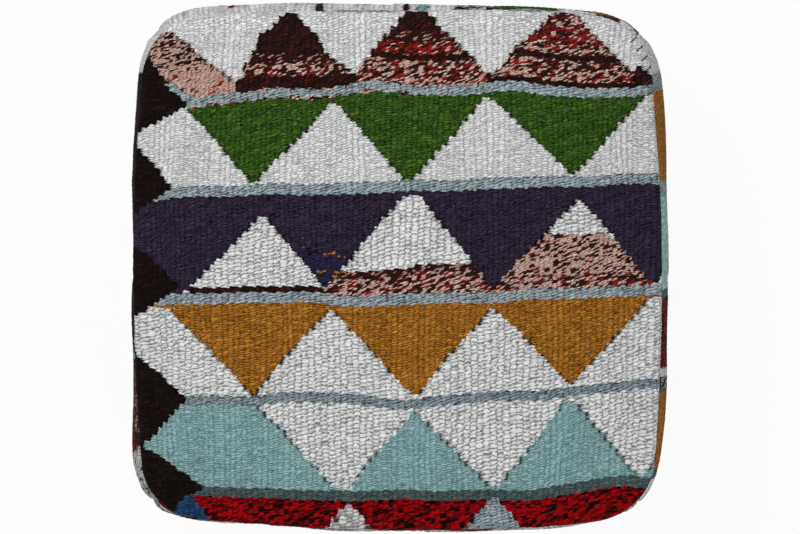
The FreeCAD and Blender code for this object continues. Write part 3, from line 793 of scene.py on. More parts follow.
WHITE_SHADES = ((242, 242, 242), (234, 234, 234), (224, 224, 225))
PINK, RED, RUST, DARK, BLACKISH = (226, 190, 177), (162, 38, 37), (120, 34, 31), (58, 30, 26), (40, 21, 18)


class Yarn(Enum):
    """Every yarn of the cover, as it is spun."""

    WHITE = Spin(WHITE_SHADES, uneven=0.04, slant=0.15)
    THICK_WHITE = Spin(WHITE_SHADES, uneven=0.05, gap=1.0, pick=0.62, slant=0.15)
    GREEN = Spin(((67, 101, 32), (56, 87, 28), (86, 118, 43)), uneven=0.12, gap=1.0, pick=1.15, slant=0.5)
    NAVY = Spin(((58, 48, 68), (50, 41, 59), (66, 55, 79)), uneven=0.12, gap=1.0, pick=1.1, slant=0.5)
    OCHRE = Spin(((182, 121, 44), (168, 109, 37), (198, 136, 54)), uneven=0.1, gap=0.95, slant=0.3)
    TURQUOISE = Spin(((150, 189, 190), (139, 178, 179), (161, 198, 198)), uneven=0.06, gap=0.7, slant=0.2)
    GREY_BLUE = Spin(((176, 189, 193), (162, 177, 182), (148, 163, 169)), gap=1.0, pick=0.85, slant=0.6)
    DIM_BLUE = Spin(((157, 171, 176), (145, 160, 166), (132, 147, 153)), gap=1.0, pick=0.85, slant=0.6)
    SLATE = Spin(((88, 107, 106), (76, 95, 95), (102, 119, 117)))
    BROWN = Spin(((27, 17, 14), (20, 13, 11), (38, 25, 20)))
    UMBER = Spin((DARK, BLACKISH, (92, 28, 26)), (0.52, 0.95), uneven=0.16, gap=1.0, slant=0.9)
    DEEP_BLUE = Spin(((50, 43, 74), (44, 37, 60), (44, 42, 82)), uneven=0.12)
    BLUE = Spin(((44, 82, 126), (36, 66, 104), (52, 92, 136)))
    PINK_MARL = marl((DARK, PINK, RED), (0.44, 0.83))
    ROSE_MARL = marl((PINK, DARK, RED), (0.68, 0.965))
    RUST_MARL = marl((RED, DARK, PINK), (0.48, 0.86))
    DARK_MARL = marl((DARK, (200, 156, 144), RUST), (0.7, 0.91))
    DUSK_MARL = marl((PINK, DARK, BLACKISH), (0.5, 0.78), pick=2.0)
    BLUSH_MARL = marl((PINK, (212, 170, 156), RED), (0.6, 0.93), uneven=0.08, pick=1.2, slant=1.0)
    RED_MARL = Spin(((178, 4, 12), (26, 5, 6), (112, 4, 10)), (0.5, 0.76), pick=1.1, slant=0.5)
    EMBER_MARL = Spin(((26, 5, 6), (178, 4, 12), (60, 5, 8)), (0.55, 0.84), pick=1.1, slant=0.5)
    GREY_MARL = Spin(((222, 220, 218), (176, 174, 174), (70, 66, 66)), (0.62, 0.88), pick=0.7, slant=0.2)
    OCHRE_FLECK = Spin(((182, 121, 44), (53, 44, 62), (48, 42, 66)), (0.42, 0.75), slant=0.8)
    TWIST = Spin((BLACKISH, (238, 238, 238), DARK), (0.48, 0.8), slant=1.2)
    # Turquoise with white flecks: the white is the yarn's own, and the turquoise shades are painted lighter,
    # as painted light on the right panel.
    TURQUOISE_WHITE_MARL_PAINTED_LIT = Spin(
        ((170, 214, 208), (152, 198, 192), (226, 234, 232)), (0.45, 0.78), gap=0.7, slant=0.2)

    @property
    def number(self) -> int:
        """The yarn's place among the yarns, as the charts' grids hold it."""
        return list(Yarn).index(self)


@dataclass(frozen=True)
class Band:
    """A narrow plain band across the cloth: its place, yarn and how far it strays from straight, in metres.

    strays are (x, rise) along the band, its crooked line as a hand-woven cloth has it.
    """

    y: float
    yarn: Yarn | None = None
    strays: tuple = ((-0.26, 0.0), (0.26, 0.0))
    half: float = 0.0054


@dataclass(frozen=True)
class Zigzag:
    """The row of triangles below a band.

    hanging and standing are its two yarns; turns are (x, share of the row's depth) where the line between
    them turns. marls are (from x, to x, from share, yarn) where the standing yarn changes, and dips the same
    for the hanging yarn.
    """

    hanging: Yarn
    standing: Yarn
    turns: tuple
    marls: tuple = ()
    dips: tuple = ()


@dataclass(frozen=True)
class Patch:
    """One plain shape woven over the rows: its corners in turn, in metres, with no dents, and its yarn."""

    corners: tuple
    yarn: Yarn


@dataclass(frozen=True)
class Fleck:
    """Single beads in another yarn: the stretch's left, right, lower and upper edge, and how many of ten."""

    left: float
    right: float
    lower: float
    upper: float
    yarn: Yarn
    of_ten: float


@dataclass(frozen=True)
class Chart:
    """Bands, the rows between them, a border given by (y, x) turns, patches and flecks.

    far_border says that the border lies on the right. grow and shift tell how the chart lies on the flat
    cloth, and ripple how far its weft waves.
    """

    bands: tuple
    rows: tuple
    border: tuple = ()
    patches: tuple = ()
    flecks: tuple = ()
    far_border: bool = False
    grow: float = 1.0
    shift: tuple = (0.0, 0.0)
    ripple: float = 0.0007

    def own(self, x: Array, y: Array) -> tuple[Array, Array]:
        """Turn places on the flat cloth into the chart's own."""
        return x * self.grow + self.shift[0], y * self.grow + self.shift[1]

    def strayed(self, x: Array, y: Array) -> Array:
        """How far the weft at the chart's own places lies above a straight line, as the bands stray."""
        order = sorted(self.bands, key=lambda band: band.y)
        rises = [np.interp(x, *zip(*band.strays)) for band in order]
        found = np.where(y < order[0].y, rises[0], rises[-1])
        for low, high, low_rise, high_rise in zip(order, order[1:], rises, rises[1:]):
            share = (y - low.y) / (high.y - low.y)
            found = np.where((share >= 0.0) & (share < 1.0), low_rise + (high_rise - low_rise) * share, found)
        wave = np.sin(x / 0.019 + y / 0.071) + 0.7 * np.sin(x / 0.0113 - y / 0.046 + 1.7)
        return found + self.ripple * wave

    def drift(self, x: Array, y: Array) -> Array:
        """How far the weft on the flat cloth lies above a straight line."""
        return self.strayed(*self.own(x, y)) / self.grow

    def yarns(self, x: Array, y: Array) -> Array:
        """Pick the yarn at each place.

        Args:
            x: place across the flat cloth.
            y: place along it, with the drift taken out.

        Returns:
            The yarns' numbers.
        """
        x, y = self.own(x, y)
        seen = y + self.strayed(x, y)
        grid = np.full(x.shape, Yarn.WHITE.number)
        for upper, lower, row in zip(self.bands, self.bands[1:], self.rows):
            top, bottom = upper.y - upper.half, lower.y + lower.half
            share = (top - y) / (top - bottom)
            inside = (y <= top) & (y > bottom)
            line = np.interp(x, *zip(*row.turns))
            standing = np.full(x.shape, row.standing.number)
            hanging = np.full(x.shape, row.hanging.number)
            for start, stop, deep, yarn in row.marls:
                standing[(x >= start) & (x < stop) & (share > deep)] = yarn.number
            for start, stop, deep, yarn in row.dips:
                hanging[(x >= start) & (x < stop) & (share > deep)] = yarn.number
            grid = np.where(inside, np.where(share < line, hanging, standing), grid)
        for band in self.bands:
            if band.yarn is not None:
                grid[np.abs(y - band.y) <= band.half] = band.yarn.number
        if self.border:
            edge = np.interp(seen, *zip(*sorted(self.border)))
            grid[x > edge if self.far_border else x < edge] = Yarn.BROWN.number
        for patch in self.patches:
            grid[self.within(patch.corners, x, seen)] = patch.yarn.number
        return grid

    def flecked(self, grid: Array, x: Array, y: Array, draw: np.random.Generator) -> Array:
        """Change single beads to the flecks' yarns."""
        x, y = self.own(x, y)
        for fleck in self.flecks:
            inside = (x > fleck.left) & (x < fleck.right) & (y > fleck.lower) & (y < fleck.upper)
            chosen = inside & (draw.random(x.shape) < fleck.of_ten / 10.0)
            grid = np.where(chosen, fleck.yarn.number, grid)
        return grid

    @staticmethod
    def within(corners: tuple, x: Array, y: Array) -> Array:
        """Tell which places lie inside a shape without dents."""
        pairs = zip(corners, corners[1:] + corners[:1])
        sides = np.stack([(bx - ax) * (y - ay) - (by - ay) * (x - ax) for (ax, ay), (bx, by) in pairs])
        return np.all(sides >= 0, axis=0) | np.all(sides <= 0, axis=0)


def top_chart() -> Chart:
    """Chart of the top panel: five bands, six rows of triangles and a dark border on the left."""
    first = ((-0.26, -0.013), (-0.204, -0.0095), (-0.132, -0.0034), (-0.07, -0.002), (-0.02, 0.0041),
             (0.06, 0.0006), (0.125, 0.003), (0.19, -0.0015), (0.246, 0.003), (0.265, 0.0055))
    last = ((-0.199, -0.001), (-0.16, -0.0012), (-0.12, 0.0), (-0.085, 0.0005), (-0.043, -0.0024),
            (0.012, 0.0011), (0.143, -0.0008), (0.247, 0.0094))
    bands = (
        Band(0.2665, None, first),
        Band(0.18, Yarn.GREY_BLUE, first),
        Band(0.0865, Yarn.GREY_BLUE, (
            (-0.236, -0.01), (-0.223, -0.0073), (-0.143, -0.0039), (0.005, -0.0018), (0.075, 0.002),
            (0.175, 0.0048), (0.261, 0.0082))),
        Band(-0.0245, Yarn.GREY_BLUE, (
            (-0.23, -0.0029), (-0.143, -0.0005), (-0.092, -0.0005), (-0.057, -0.0029), (0.081, -0.0008),
            (0.133, 0.003), (0.226, 0.0064), (0.265, 0.0054))),
        Band(-0.1285, Yarn.DIM_BLUE, (
            (-0.203, -0.001), (-0.143, -0.0003), (-0.109, 0.0049), (-0.057, 0.0032), (0.012, -0.0013),
            (0.054, 0.0025), (0.102, 0.0063), (0.15, 0.0066), (0.182, 0.009), (0.22, 0.0153),
            (0.261, 0.018))),
        Band(-0.2245, Yarn.SLATE, last),
        Band(-0.305, None, last),
    )
    spans = (
        (-0.3, -0.16, ((-1.0, Yarn.DUSK_MARL), (0.55, Yarn.ROSE_MARL), (0.64, Yarn.BLUSH_MARL))),
        (-0.16, -0.04, (
            (-1.0, Yarn.UMBER), (0.56, Yarn.DARK_MARL), (0.68, Yarn.PINK_MARL), (0.85, Yarn.UMBER))),
        (-0.04, 0.093, (
            (-1.0, Yarn.UMBER), (0.26, Yarn.DARK_MARL), (0.42, Yarn.RUST_MARL), (0.61, Yarn.UMBER),
            (0.69, Yarn.PINK_MARL))),
        (0.093, 0.3, (
            (-1.0, Yarn.PINK_MARL), (0.24, Yarn.RUST_MARL), (0.46, Yarn.PINK_MARL), (0.58, Yarn.UMBER),
            (0.67, Yarn.PINK_MARL), (0.95, Yarn.UMBER))),
        (0.243, 0.3, ((0.55, Yarn.UMBER),)),
    )
    layers = tuple((left, right, share, yarn) for left, right, steps in spans for share, yarn in steps)
    rows = (
        Zigzag(Yarn.WHITE, Yarn.PINK_MARL, (
            (-0.27, 0.25), (-0.228, 0.1), (-0.157, 0.9), (-0.15, 0.72), (-0.142, 0.56), (-0.134, 0.26),
            (-0.122, 0.16), (-0.11, -0.02), (-0.102, -0.02), (-0.078, 0.3), (-0.07, 0.5), (-0.04, 0.9),
            (0.008, 0.05), (0.014, -0.05), (0.026, -0.05), (0.06, 0.4), (0.094, 0.9), (0.101, 0.9),
            (0.126, 0.5), (0.147, 0.24), (0.16, 0.05), (0.166, -0.03), (0.18, 0.0), (0.19, 0.15),
            (0.216, 0.45), (0.243, 0.8), (0.249, 0.73), (0.258, 0.86), (0.28, 0.95)), layers),
        Zigzag(Yarn.GREEN, Yarn.WHITE, (
            (-0.3, 0.0), (-0.211, 0.0), (-0.138, 1.0), (-0.06, 0.04), (0.0105, 1.0), (0.0185, 1.0),
            (0.0915, 0.03), (0.179, 1.0), (0.2555, 0.0), (0.29, 0.0))),
        Zigzag(Yarn.NAVY, Yarn.THICK_WHITE, (
            (-0.3, 1.0), (-0.208, 0.99), (-0.131, 0.2), (-0.069, 0.95), (0.0085, 0.05), (0.0245, 0.04),
            (0.098, 0.96), (0.184, 0.12), (0.261, 1.0), (0.29, 0.7)),
            marls=((-0.206, -0.069, 0.935, Yarn.UMBER), (-0.069, 0.02, 0.755, Yarn.DARK_MARL),
                   (-0.069, 0.02, 0.82, Yarn.PINK_MARL), (0.02, 0.098, 0.715, Yarn.DARK_MARL),
                   (0.02, 0.098, 0.78, Yarn.PINK_MARL), (0.098, 0.15, 0.51, Yarn.ROSE_MARL),
                   (0.15, 0.215, 0.455, Yarn.ROSE_MARL), (0.215, 0.262, 0.52, Yarn.ROSE_MARL),
                   (0.098, 0.262, 0.86, Yarn.PINK_MARL)),
            dips=((-0.105, -0.03, 0.58, Yarn.DEEP_BLUE),)),
        Zigzag(Yarn.OCHRE, Yarn.THICK_WHITE, (
            (-0.3, 0.0), (-0.229, 0.02), (-0.141, 1.0), (-0.06, 0.05), (0.0225, 1.0),
            (0.099, 0.05), (0.178, 1.0), (0.257, 0.03), (0.29, 0.0))),
        Zigzag(Yarn.THICK_WHITE, Yarn.TURQUOISE, (
            (-0.3, 0.0), (-0.139, 0.0), (-0.06, 0.98), (-0.047, 0.98), (0.019, 0.0), (0.101, 1.0),
            (0.172, 0.03), (0.18, 0.05), (0.247, 1.0), (0.29, 0.5))),
        Zigzag(Yarn.RED_MARL, Yarn.RED_MARL, ((-0.262, 0.5), (0.29, 0.5))),
    )
    border = (
        (0.3, -0.33), (0.2105, -0.2485), (0.1905, -0.2315), (0.169, -0.2065), (0.1362, -0.2708),
        (0.086, -0.222), (0.0458, -0.2825), (-0.0131, -0.2135), (-0.0636, -0.2886), (-0.1275, -0.2079),
        (-0.179, -0.257), (-0.2216, -0.1945), (-0.237, -0.22), (-0.29, -0.2215),
    )
    patches = (
        Patch(((-0.075, 0.2605), (0.0, 0.262), (-0.0375, 0.32)), Yarn.GREY_BLUE),
        Patch(((0.03, 0.264), (0.06, 0.263), (0.045, 0.32)), Yarn.GREY_BLUE),
        Patch(((0.09, 0.262), (0.15, 0.256), (0.12, 0.32)), Yarn.GREY_BLUE),
        Patch(((-0.2355, 0.1905), (-0.229, 0.1925), (-0.199, 0.1735), (-0.2065, 0.1665)), Yarn.GREY_BLUE),
        Patch(((-0.0475, -0.233), (-0.078, -0.268), (-0.016, -0.268)), Yarn.GREY_MARL),
        Patch(((0.1025, -0.224), (0.063, -0.268), (0.137, -0.268)), Yarn.GREY_BLUE),
        Patch(((-0.2143, -0.2295), (-0.229, -0.248), (-0.188, -0.258), (-0.209, -0.2295)), Yarn.BLUE),
    )
    flecks = (
        Fleck(-0.092, -0.042, 0.019, 0.0275, Yarn.OCHRE_FLECK, 6.0),
        Fleck(-0.076, -0.046, -0.002, 0.0055, Yarn.OCHRE_FLECK, 7.0),
        Fleck(-0.21, -0.066, 0.1735, 0.177, Yarn.PINK_MARL, 6.5),
        Fleck(-0.066, 0.038, 0.1735, 0.177, Yarn.PINK_MARL, 4.5),
        Fleck(-0.156, 0.09, 0.183, 0.1865, Yarn.ROSE_MARL, 4.0),
    )
    return Chart(bands, rows, border, patches, flecks, grow=1.016, shift=(0.0017, 0.0002))


def even_turns(start: float, step: float, count: int, low: float = 0.04, high: float = 0.98) -> tuple:
    """Give a regular zigzag: count turns from start on, a step apart, high and low by turns."""
    return tuple((start + step * k, high if k % 2 else low) for k in range(count))


def crooked(left: float, middle: float, right: float) -> tuple:
    """Give a band's line from its rise at the cloth's left, middle and right."""
    return (-0.28, left), (-0.12, 0.6 * left + 0.4 * middle), (0.0, middle), (0.28, right)


def front_chart() -> Chart:
    """Chart of the front panel: three rows of triangles between bands, weft level."""
    bands = (
        Band(0.14), Band(0.074, Yarn.GREY_BLUE, crooked(0.004, 0.0, 0.003)),
        Band(-0.006, Yarn.SLATE, crooked(-0.002, 0.002, 0.004)),
        Band(-0.088, Yarn.GREY_BLUE, crooked(0.003, -0.001, 0.002)), Band(-0.15),
    )
    rows = (
        Zigzag(Yarn.RED_MARL, Yarn.WHITE, even_turns(-0.3, 0.076, 9, 0.18)),
        Zigzag(Yarn.TURQUOISE, Yarn.UMBER, even_turns(-0.262, 0.077, 9)),
        Zigzag(Yarn.THICK_WHITE, Yarn.NAVY, even_turns(-0.31, 0.075, 9)),
        Zigzag(Yarn.OCHRE, Yarn.UMBER, even_turns(-0.28, 0.078, 9)),
    )
    return Chart(bands, rows)


def back_chart() -> Chart:
    """Chart of the back panel, weft level; x runs to the left of the top panel's."""
    bands = (
        Band(0.14),
        Band(0.048, Yarn.GREY_BLUE, (
            (-0.28, 0.014), (-0.21, 0.01), (-0.165, 0.001), (0.0, 0.001), (0.28, 0.003))),
        Band(-0.018, Yarn.SLATE, crooked(0.003, 0.0, -0.002)),
        Band(-0.092, Yarn.GREY_BLUE, crooked(0.001, 0.002, -0.001)), Band(-0.15),
    )
    rows = (
        Zigzag(Yarn.WHITE, Yarn.WHITE, ((-0.3, 0.5), (0.3, 0.5))),
        Zigzag(Yarn.OCHRE, Yarn.THICK_WHITE, even_turns(-0.3, 0.076, 9)),
        Zigzag(Yarn.WHITE, Yarn.GREEN, even_turns(-0.27, 0.077, 9)),
        Zigzag(Yarn.DARK_MARL, Yarn.RED_MARL, even_turns(-0.28, 0.078, 9)),
    )
    strips = (
        (-0.214, -0.092, 0.14, 0.099, Yarn.GREY_BLUE), (-0.092, -0.004, 0.14, 0.112, Yarn.GREY_BLUE),
        (0.002, 0.078, 0.14, 0.109, Yarn.GREY_BLUE), (0.169, 0.177, 0.095, 0.055, Yarn.RED_MARL),
        (0.075, 0.085, 0.14, 0.055, Yarn.NAVY), (-0.012, -0.005, 0.14, 0.055, Yarn.UMBER),
        (-0.031, -0.02, 0.14, 0.055, Yarn.TURQUOISE), (-0.101, -0.061, 0.14, 0.055, Yarn.TWIST),
        (-0.107, -0.101, 0.14, 0.055, Yarn.TURQUOISE), (-0.167, -0.107, 0.099, 0.055, Yarn.GREEN),
        (-0.237, -0.208, 0.14, 0.072, Yarn.NAVY), (-0.262, -0.188, 0.072, 0.05, Yarn.OCHRE),
    )
    patches = tuple(Patch(((left, high), (right, high), (right, low), (left, low)), yarn)
                    for left, right, high, low, yarn in strips)
    return Chart(bands, rows, (), patches)


def upright(y: float, yarn: Yarn, half: float = Band.half) -> Band:
    """Give a band that runs up a panel."""
    return Band(y, yarn, ((-0.14, 0.0), (0.0, 0.002), (0.14, -0.001)), half)


def right_chart() -> Chart:
    """Chart of the right panel: the weft runs down the panel, so its rows carry on from the top's."""
    bands = (
        Band(0.3), upright(0.1978, Yarn.GREY_BLUE, 0.009), upright(0.087, Yarn.GREY_BLUE, 0.0084),
        upright(-0.0236, Yarn.SLATE, 0.0043), upright(-0.1262, Yarn.SLATE, 0.0026),
        upright(-0.217, Yarn.SLATE), Band(-0.3),
    )
    rows = (
        Zigzag(Yarn.WHITE, Yarn.NAVY, (
            (-0.14, 1.0), (-0.04, 1.0), (0.03, 0.2), (0.1, 1.0), (0.14, 0.6))),
        Zigzag(Yarn.OCHRE, Yarn.WHITE, (
            (-0.14, 1.0), (-0.03, 1.0), (0.045, 0.05), (0.12, 0.95), (0.15, 0.6))),
        Zigzag(Yarn.TURQUOISE_WHITE_MARL_PAINTED_LIT, Yarn.THICK_WHITE, (
            (-0.14, 1.0), (-0.04, 1.0), (0.035, 0.05), (0.11, 0.95), (0.15, 0.5))),
        Zigzag(Yarn.EMBER_MARL, Yarn.WHITE, (
            (-0.14, 0.79), (-0.02, 0.79), (0.055, 0.05), (0.13, 0.95)), ((-0.14, 0.0, 0.88, Yarn.TWIST),)),
        Zigzag(Yarn.OCHRE, Yarn.GREEN, (
            (-0.14, 1.0), (-0.03, 1.0), (0.04, 0.05), (0.115, 0.95), (0.15, 0.6))),
        Zigzag(Yarn.WHITE, Yarn.DARK_MARL, (
            (-0.14, 0.95), (-0.04, 0.95), (0.03, 0.15), (0.1, 0.95), (0.14, 0.6))),
    )
    return Chart(bands, rows)


def left_chart() -> Chart:
    """Chart of the left panel: the weft runs up the panel, and the top's dark border comes over its edge."""
    bands = (
        Band(0.3), upright(0.17, Yarn.GREY_BLUE), upright(0.075, Yarn.SLATE),
        upright(-0.02, Yarn.GREY_BLUE), upright(-0.1, Yarn.UMBER),
        upright(-0.1815, Yarn.EMBER_MARL, 0.008), Band(-0.3),
    )
    rows = (
        Zigzag(Yarn.WHITE, Yarn.GREEN, (
            (-0.14, 0.5), (-0.09, 1.0), (-0.02, 0.1), (0.05, 1.0), (0.14, 1.0))),
        Zigzag(Yarn.THICK_WHITE, Yarn.NAVY, (
            (-0.14, 0.5), (-0.1, 0.05), (-0.03, 0.95), (0.045, 0.05), (0.12, 0.95))),
        Zigzag(Yarn.OCHRE, Yarn.WHITE, (
            (-0.14, 0.5), (-0.09, 0.95), (-0.02, 0.05), (0.055, 0.95), (0.13, 0.05))),
        Zigzag(Yarn.WHITE, Yarn.TURQUOISE, (
            (-0.14, 0.6), (-0.1, 0.05), (-0.03, 0.95), (0.045, 0.05), (0.12, 0.95))),
        Zigzag(Yarn.DARK_MARL, Yarn.WHITE, ((-0.14, 0.5), (-0.09, 0.05), (-0.02, 1.0), (0.14, 1.0))),
        Zigzag(Yarn.RED_MARL, Yarn.GREY_MARL, (
            (-0.14, 0.4), (-0.08, 0.9), (0.0, 0.25), (0.1, 0.0), (0.14, 0.0))),
    )
    border = (
        (0.3, 0.15), (0.214, 0.15), (0.202, 0.05), (0.17, 0.072), (0.105, 0.028), (0.04, 0.07),
        (-0.025, 0.028), (-0.085, 0.075), (-0.1, 0.15), (-0.3, 0.15),
    )
    return Chart(bands, rows, border, far_border=True)


# Woven panels


class WeftWay(Enum):
    """How the weft runs on a panel: level, or down or up the panel."""

    LEVEL = 0
    DOWN = 1
    UP = 2


@dataclass(frozen=True)
class Weave:
    """Sizes of the weft beads over the warps, in metres."""

    warp: float = 0.0065
    bead: float = 0.0024
    relief: float = 0.0006
    slant: float = 0.0005
    interlock: float = 0.17
    slit: float = 0.0008
    wander: float = 0.0009
    long_wander: float = 0.17
    short_wander: float = 0.033
    wave: float = 0.0006
    across: int = 2
    size_spread: float = 0.26
    shift_spread: float = 0.22
    lobe: float = 0.17
    lobe_rows: int = 6


@dataclass
class WovenPanel:
    """One panel of the cover: beads of weft on a lattice, coloured to a chart and laid on a surface."""

    name: str
    surface: TopSurface | SideSurface
    chart: Chart
    weave: Weave
    way: WeftWay
    half_across: float
    half_along: float
    seed: int

    def __post_init__(self) -> None:
        """Count the warps across and the weft beads along."""
        self.across = 2 * math.ceil(self.half_across / self.weave.warp)
        self.along = 2 * math.ceil(self.half_along / self.weave.bead)

    def build(self) -> Object:
        """Weave the panel and lay it on its surface.

        Returns:
            The woven piece, with its yarn colours, its cavities, which set the wool's painted shade, and
            maps.
        """
        columns, rows = self.across * self.weave.across, self.along * 2
        clear_selection()
        bpy.ops.mesh.primitive_grid_add(x_subdivisions=columns, y_subdivisions=rows, size=2.0)
        piece = bpy.context.active_object
        piece.name = piece.data.name = self.name
        mesh = piece.data
        flat = read_all(mesh.vertices, "co")
        column = np.rint((flat[:, 0] + 1.0) / 2.0 * columns).astype(int)
        row = np.rint((flat[:, 1] + 1.0) / 2.0 * rows).astype(int)
        yarn = self.charted()
        points, edge, cavity = self.laid(yarn)
        mesh.vertices.foreach_set("co", points[column, row].ravel())
        hollow = mesh.attributes.new("cavity", "FLOAT", "POINT")
        hollow.data.foreach_set("value", cavity[column, row].astype(np.float32))
        self.colour(mesh, column, row, yarn)
        self.trim(piece, edge[column, row])
        mesh.polygons.foreach_set("use_smooth", np.ones(len(mesh.polygons), bool))
        mesh.update()
        return piece

    def charted(self) -> Array:
        """Give the yarn's number for each warp and bead; odd warps' beads lie half a bead lower."""
        warp = np.arange(self.across)[:, None]
        bead = np.arange(self.along + 1)[None, :]
        x = (warp + 0.5 - self.across / 2) * self.weave.warp + 0.0 * bead
        y = (bead + 0.5 - 0.5 * (warp % 2) - self.along / 2) * self.weave.bead
        return self.chart.flecked(self.chart.yarns(x, y), x, y, np.random.default_rng(self.seed + 2))

    @staticmethod
    def bead_of(warp: Array, row: Array, last: int) -> Array:
        """Which bead of its warp a lattice row belongs to."""
        return np.clip((row + warp % 2) // 2, 0, last)

    def laid(self, yarn: Array) -> tuple[Array, Array, Array]:
        """Work out where every lattice point lies.

        Args:
            yarn: the yarn of each bead.

        Returns:
            The points, their distance to the seam and their openness, 0 deep to 1 high, which sets the
            painted shade.
        """
        weave, across, along = self.weave, self.across, self.along
        draw = np.random.default_rng(self.seed)
        cells = weave.across
        column = np.arange(across * cells + 1)
        row = np.arange(along * 2 + 1)[None, :]
        bound = np.arange(across + 1)[:, None]
        part = column % cells
        own = np.minimum(column // cells, across - 1)[:, None] + 0 * row
        bead = self.bead_of(own, row, along)
        high = (row + own) % 2 == 1
        between = (part == 0)[:, None] & (row >= 0)
        y = (row / 2 - along / 2) * weave.bead + 0.0 * column[:, None]
        size = 1.0 + weave.size_spread * draw.standard_normal((across, along + 1))
        shift = weave.shift_spread * draw.standard_normal((across, along + 1)) * weave.bead

        # Between two warps, the bead that is high at a row reaches over into its neighbour
        left_over = np.where((row + bound) % 2 == 0, 1.0, -1.0)
        mark, lean, chance = self.turnbacks(yarn)
        wander = np.cumsum(draw.standard_normal((across + 1, 1)), axis=0)
        line = (bound - across / 2) * weave.warp
        line = line + left_over * weave.interlock * weave.warp * (1.0 - 0.4 * mark) + lean
        line = line + weave.wander * np.sin(row * weave.bead / weave.long_wander + wander * 0.35)
        line = line + weave.wander * np.sin(row * weave.bead / weave.short_wander + wander * 0.9)
        share = (part / cells)[:, None]
        x = line[column // cells] * (1.0 - share) + line[np.minimum(column // cells + 1, across)] * share

        rounded = np.array([0.5, 1.0])[part][:, None]
        sunk = np.array([0.5, 0.25])[part][:, None]
        height = np.where(high | between, rounded * size[own, bead], sunk)
        # Openness, least in the slits and low between beads, sets how much painted shade the wool gets.
        openness = np.where(high, 1.0, np.where(between, 0.85, 0.6))
        slit = np.zeros(height.shape)
        slit[::cells] = self.slits(mark, chance, draw)
        height = height - slit * weave.slit / weave.relief
        openness = openness * (1.0 - 0.9 * slit)
        y_bead = y + np.where(high & ~between, shift[own, bead], 0.0)
        y_bead[::cells] += left_over * weave.slant
        y_bead = y_bead + weave.wave * np.sin(x / 0.031 + y / 0.052) + self.chart.drift(x, y)
        u, v = self.turned(x, y_bead)
        base = self.surface.place(u, v)
        by_x, by_y = np.gradient(base, axis=0), np.gradient(base, axis=1)
        normal = np.cross(by_x, by_y)
        normal /= np.maximum(np.linalg.norm(normal, axis=-1, keepdims=True), 1e-12)
        edge = self.surface.edge(u, v)
        fade = smooth_step(-0.001, 0.003, edge)
        points = base + normal * (height * weave.relief * fade)[..., None]
        return points, edge, openness

    def turnbacks(self, yarn: Array) -> tuple[Array, Array, Array]:
        """Find where the weft turns back between two warps, at a change of colour.

        Args:
            yarn: the yarn of each bead.

        Returns:
            For each warp boundary and lattice row, 1 where the colours differ, how far the charted line lies
            from the boundary, and how likely the slit there gapes.
        """
        across, along = self.across, self.along
        row = np.arange(along * 2 + 1)[None, :]
        bound = np.arange(1, across)[:, None]
        left = yarn[bound - 1, self.bead_of(bound - 1, row, along)]
        right = yarn[bound, self.bead_of(bound, row, along)]
        x = (bound - across / 2) * self.weave.warp + 0.0 * row
        y = (row / 2 - along / 2) * self.weave.bead + 0.0 * x
        steps = np.linspace(-0.45, 0.45, 10) * self.weave.warp
        share = np.mean([self.chart.yarns(x + step, y) == left for step in steps], axis=0)
        mark = np.zeros((across + 1, along * 2 + 1))
        lean = np.zeros_like(mark)
        chance = np.zeros_like(mark)
        mark[1:across] = left != right
        white = (Yarn.WHITE.number, Yarn.THICK_WHITE.number)
        way = 1.0 * np.isin(left, white) - 1.0 * np.isin(right, white)
        swell = self.weave.lobe * way * np.sin(self.phase(mark[1:across]) * math.pi)
        lean[1:across] = mark[1:across] * ((share - 0.5) * 0.4 + swell) * self.weave.warp
        # Slits, and with them their painted shade, gape most often where white lies right of the turn.
        chance[1:across] = np.where(np.isin(right, white), 0.7, np.where(np.isin(left, white), 0.4, 0.15))
        return mark, lean, chance

    def phase(self, mark: Array) -> Array:
        """Tell how far along its lobe each marked point lies, 0 to 1; a lobe starts where a mark does."""
        run = np.zeros(mark.shape, int)
        for row in range(1, mark.shape[1]):
            run[:, row] = np.where(mark[:, row] > 0, run[:, row - 1] + 1, 0)
        return (run % self.weave.lobe_rows) / self.weave.lobe_rows

    @staticmethod
    def slits(mark: Array, chance: Array, draw: np.random.Generator) -> Array:
        """Choose how far each turn-back gapes: none or slightly, or wide open over a few beads.

        Args:
            mark: 1 where the weft turns back.
            chance: how likely a slit gapes there.
            draw: the random draws.

        Returns:
            The gape of each boundary point, 0 to 1.
        """
        run = draw.random((mark.shape[0], mark.shape[1] // 6 + 1))
        gaping = np.repeat(run, 6, axis=1)[:, :mark.shape[1]] < chance
        wide = draw.uniform(0.65, 1.0, mark.shape)
        slight = draw.uniform(0.0, 0.3, mark.shape)
        return mark * np.where(gaping, wide, slight)

    def turned(self, x: Array, y: Array) -> tuple[Array, Array]:
        """Turn the lattice on the panel to the way that its weft runs."""
        if self.way is WeftWay.DOWN:
            return y, -x
        if self.way is WeftWay.UP:
            return -y, x
        return x, y

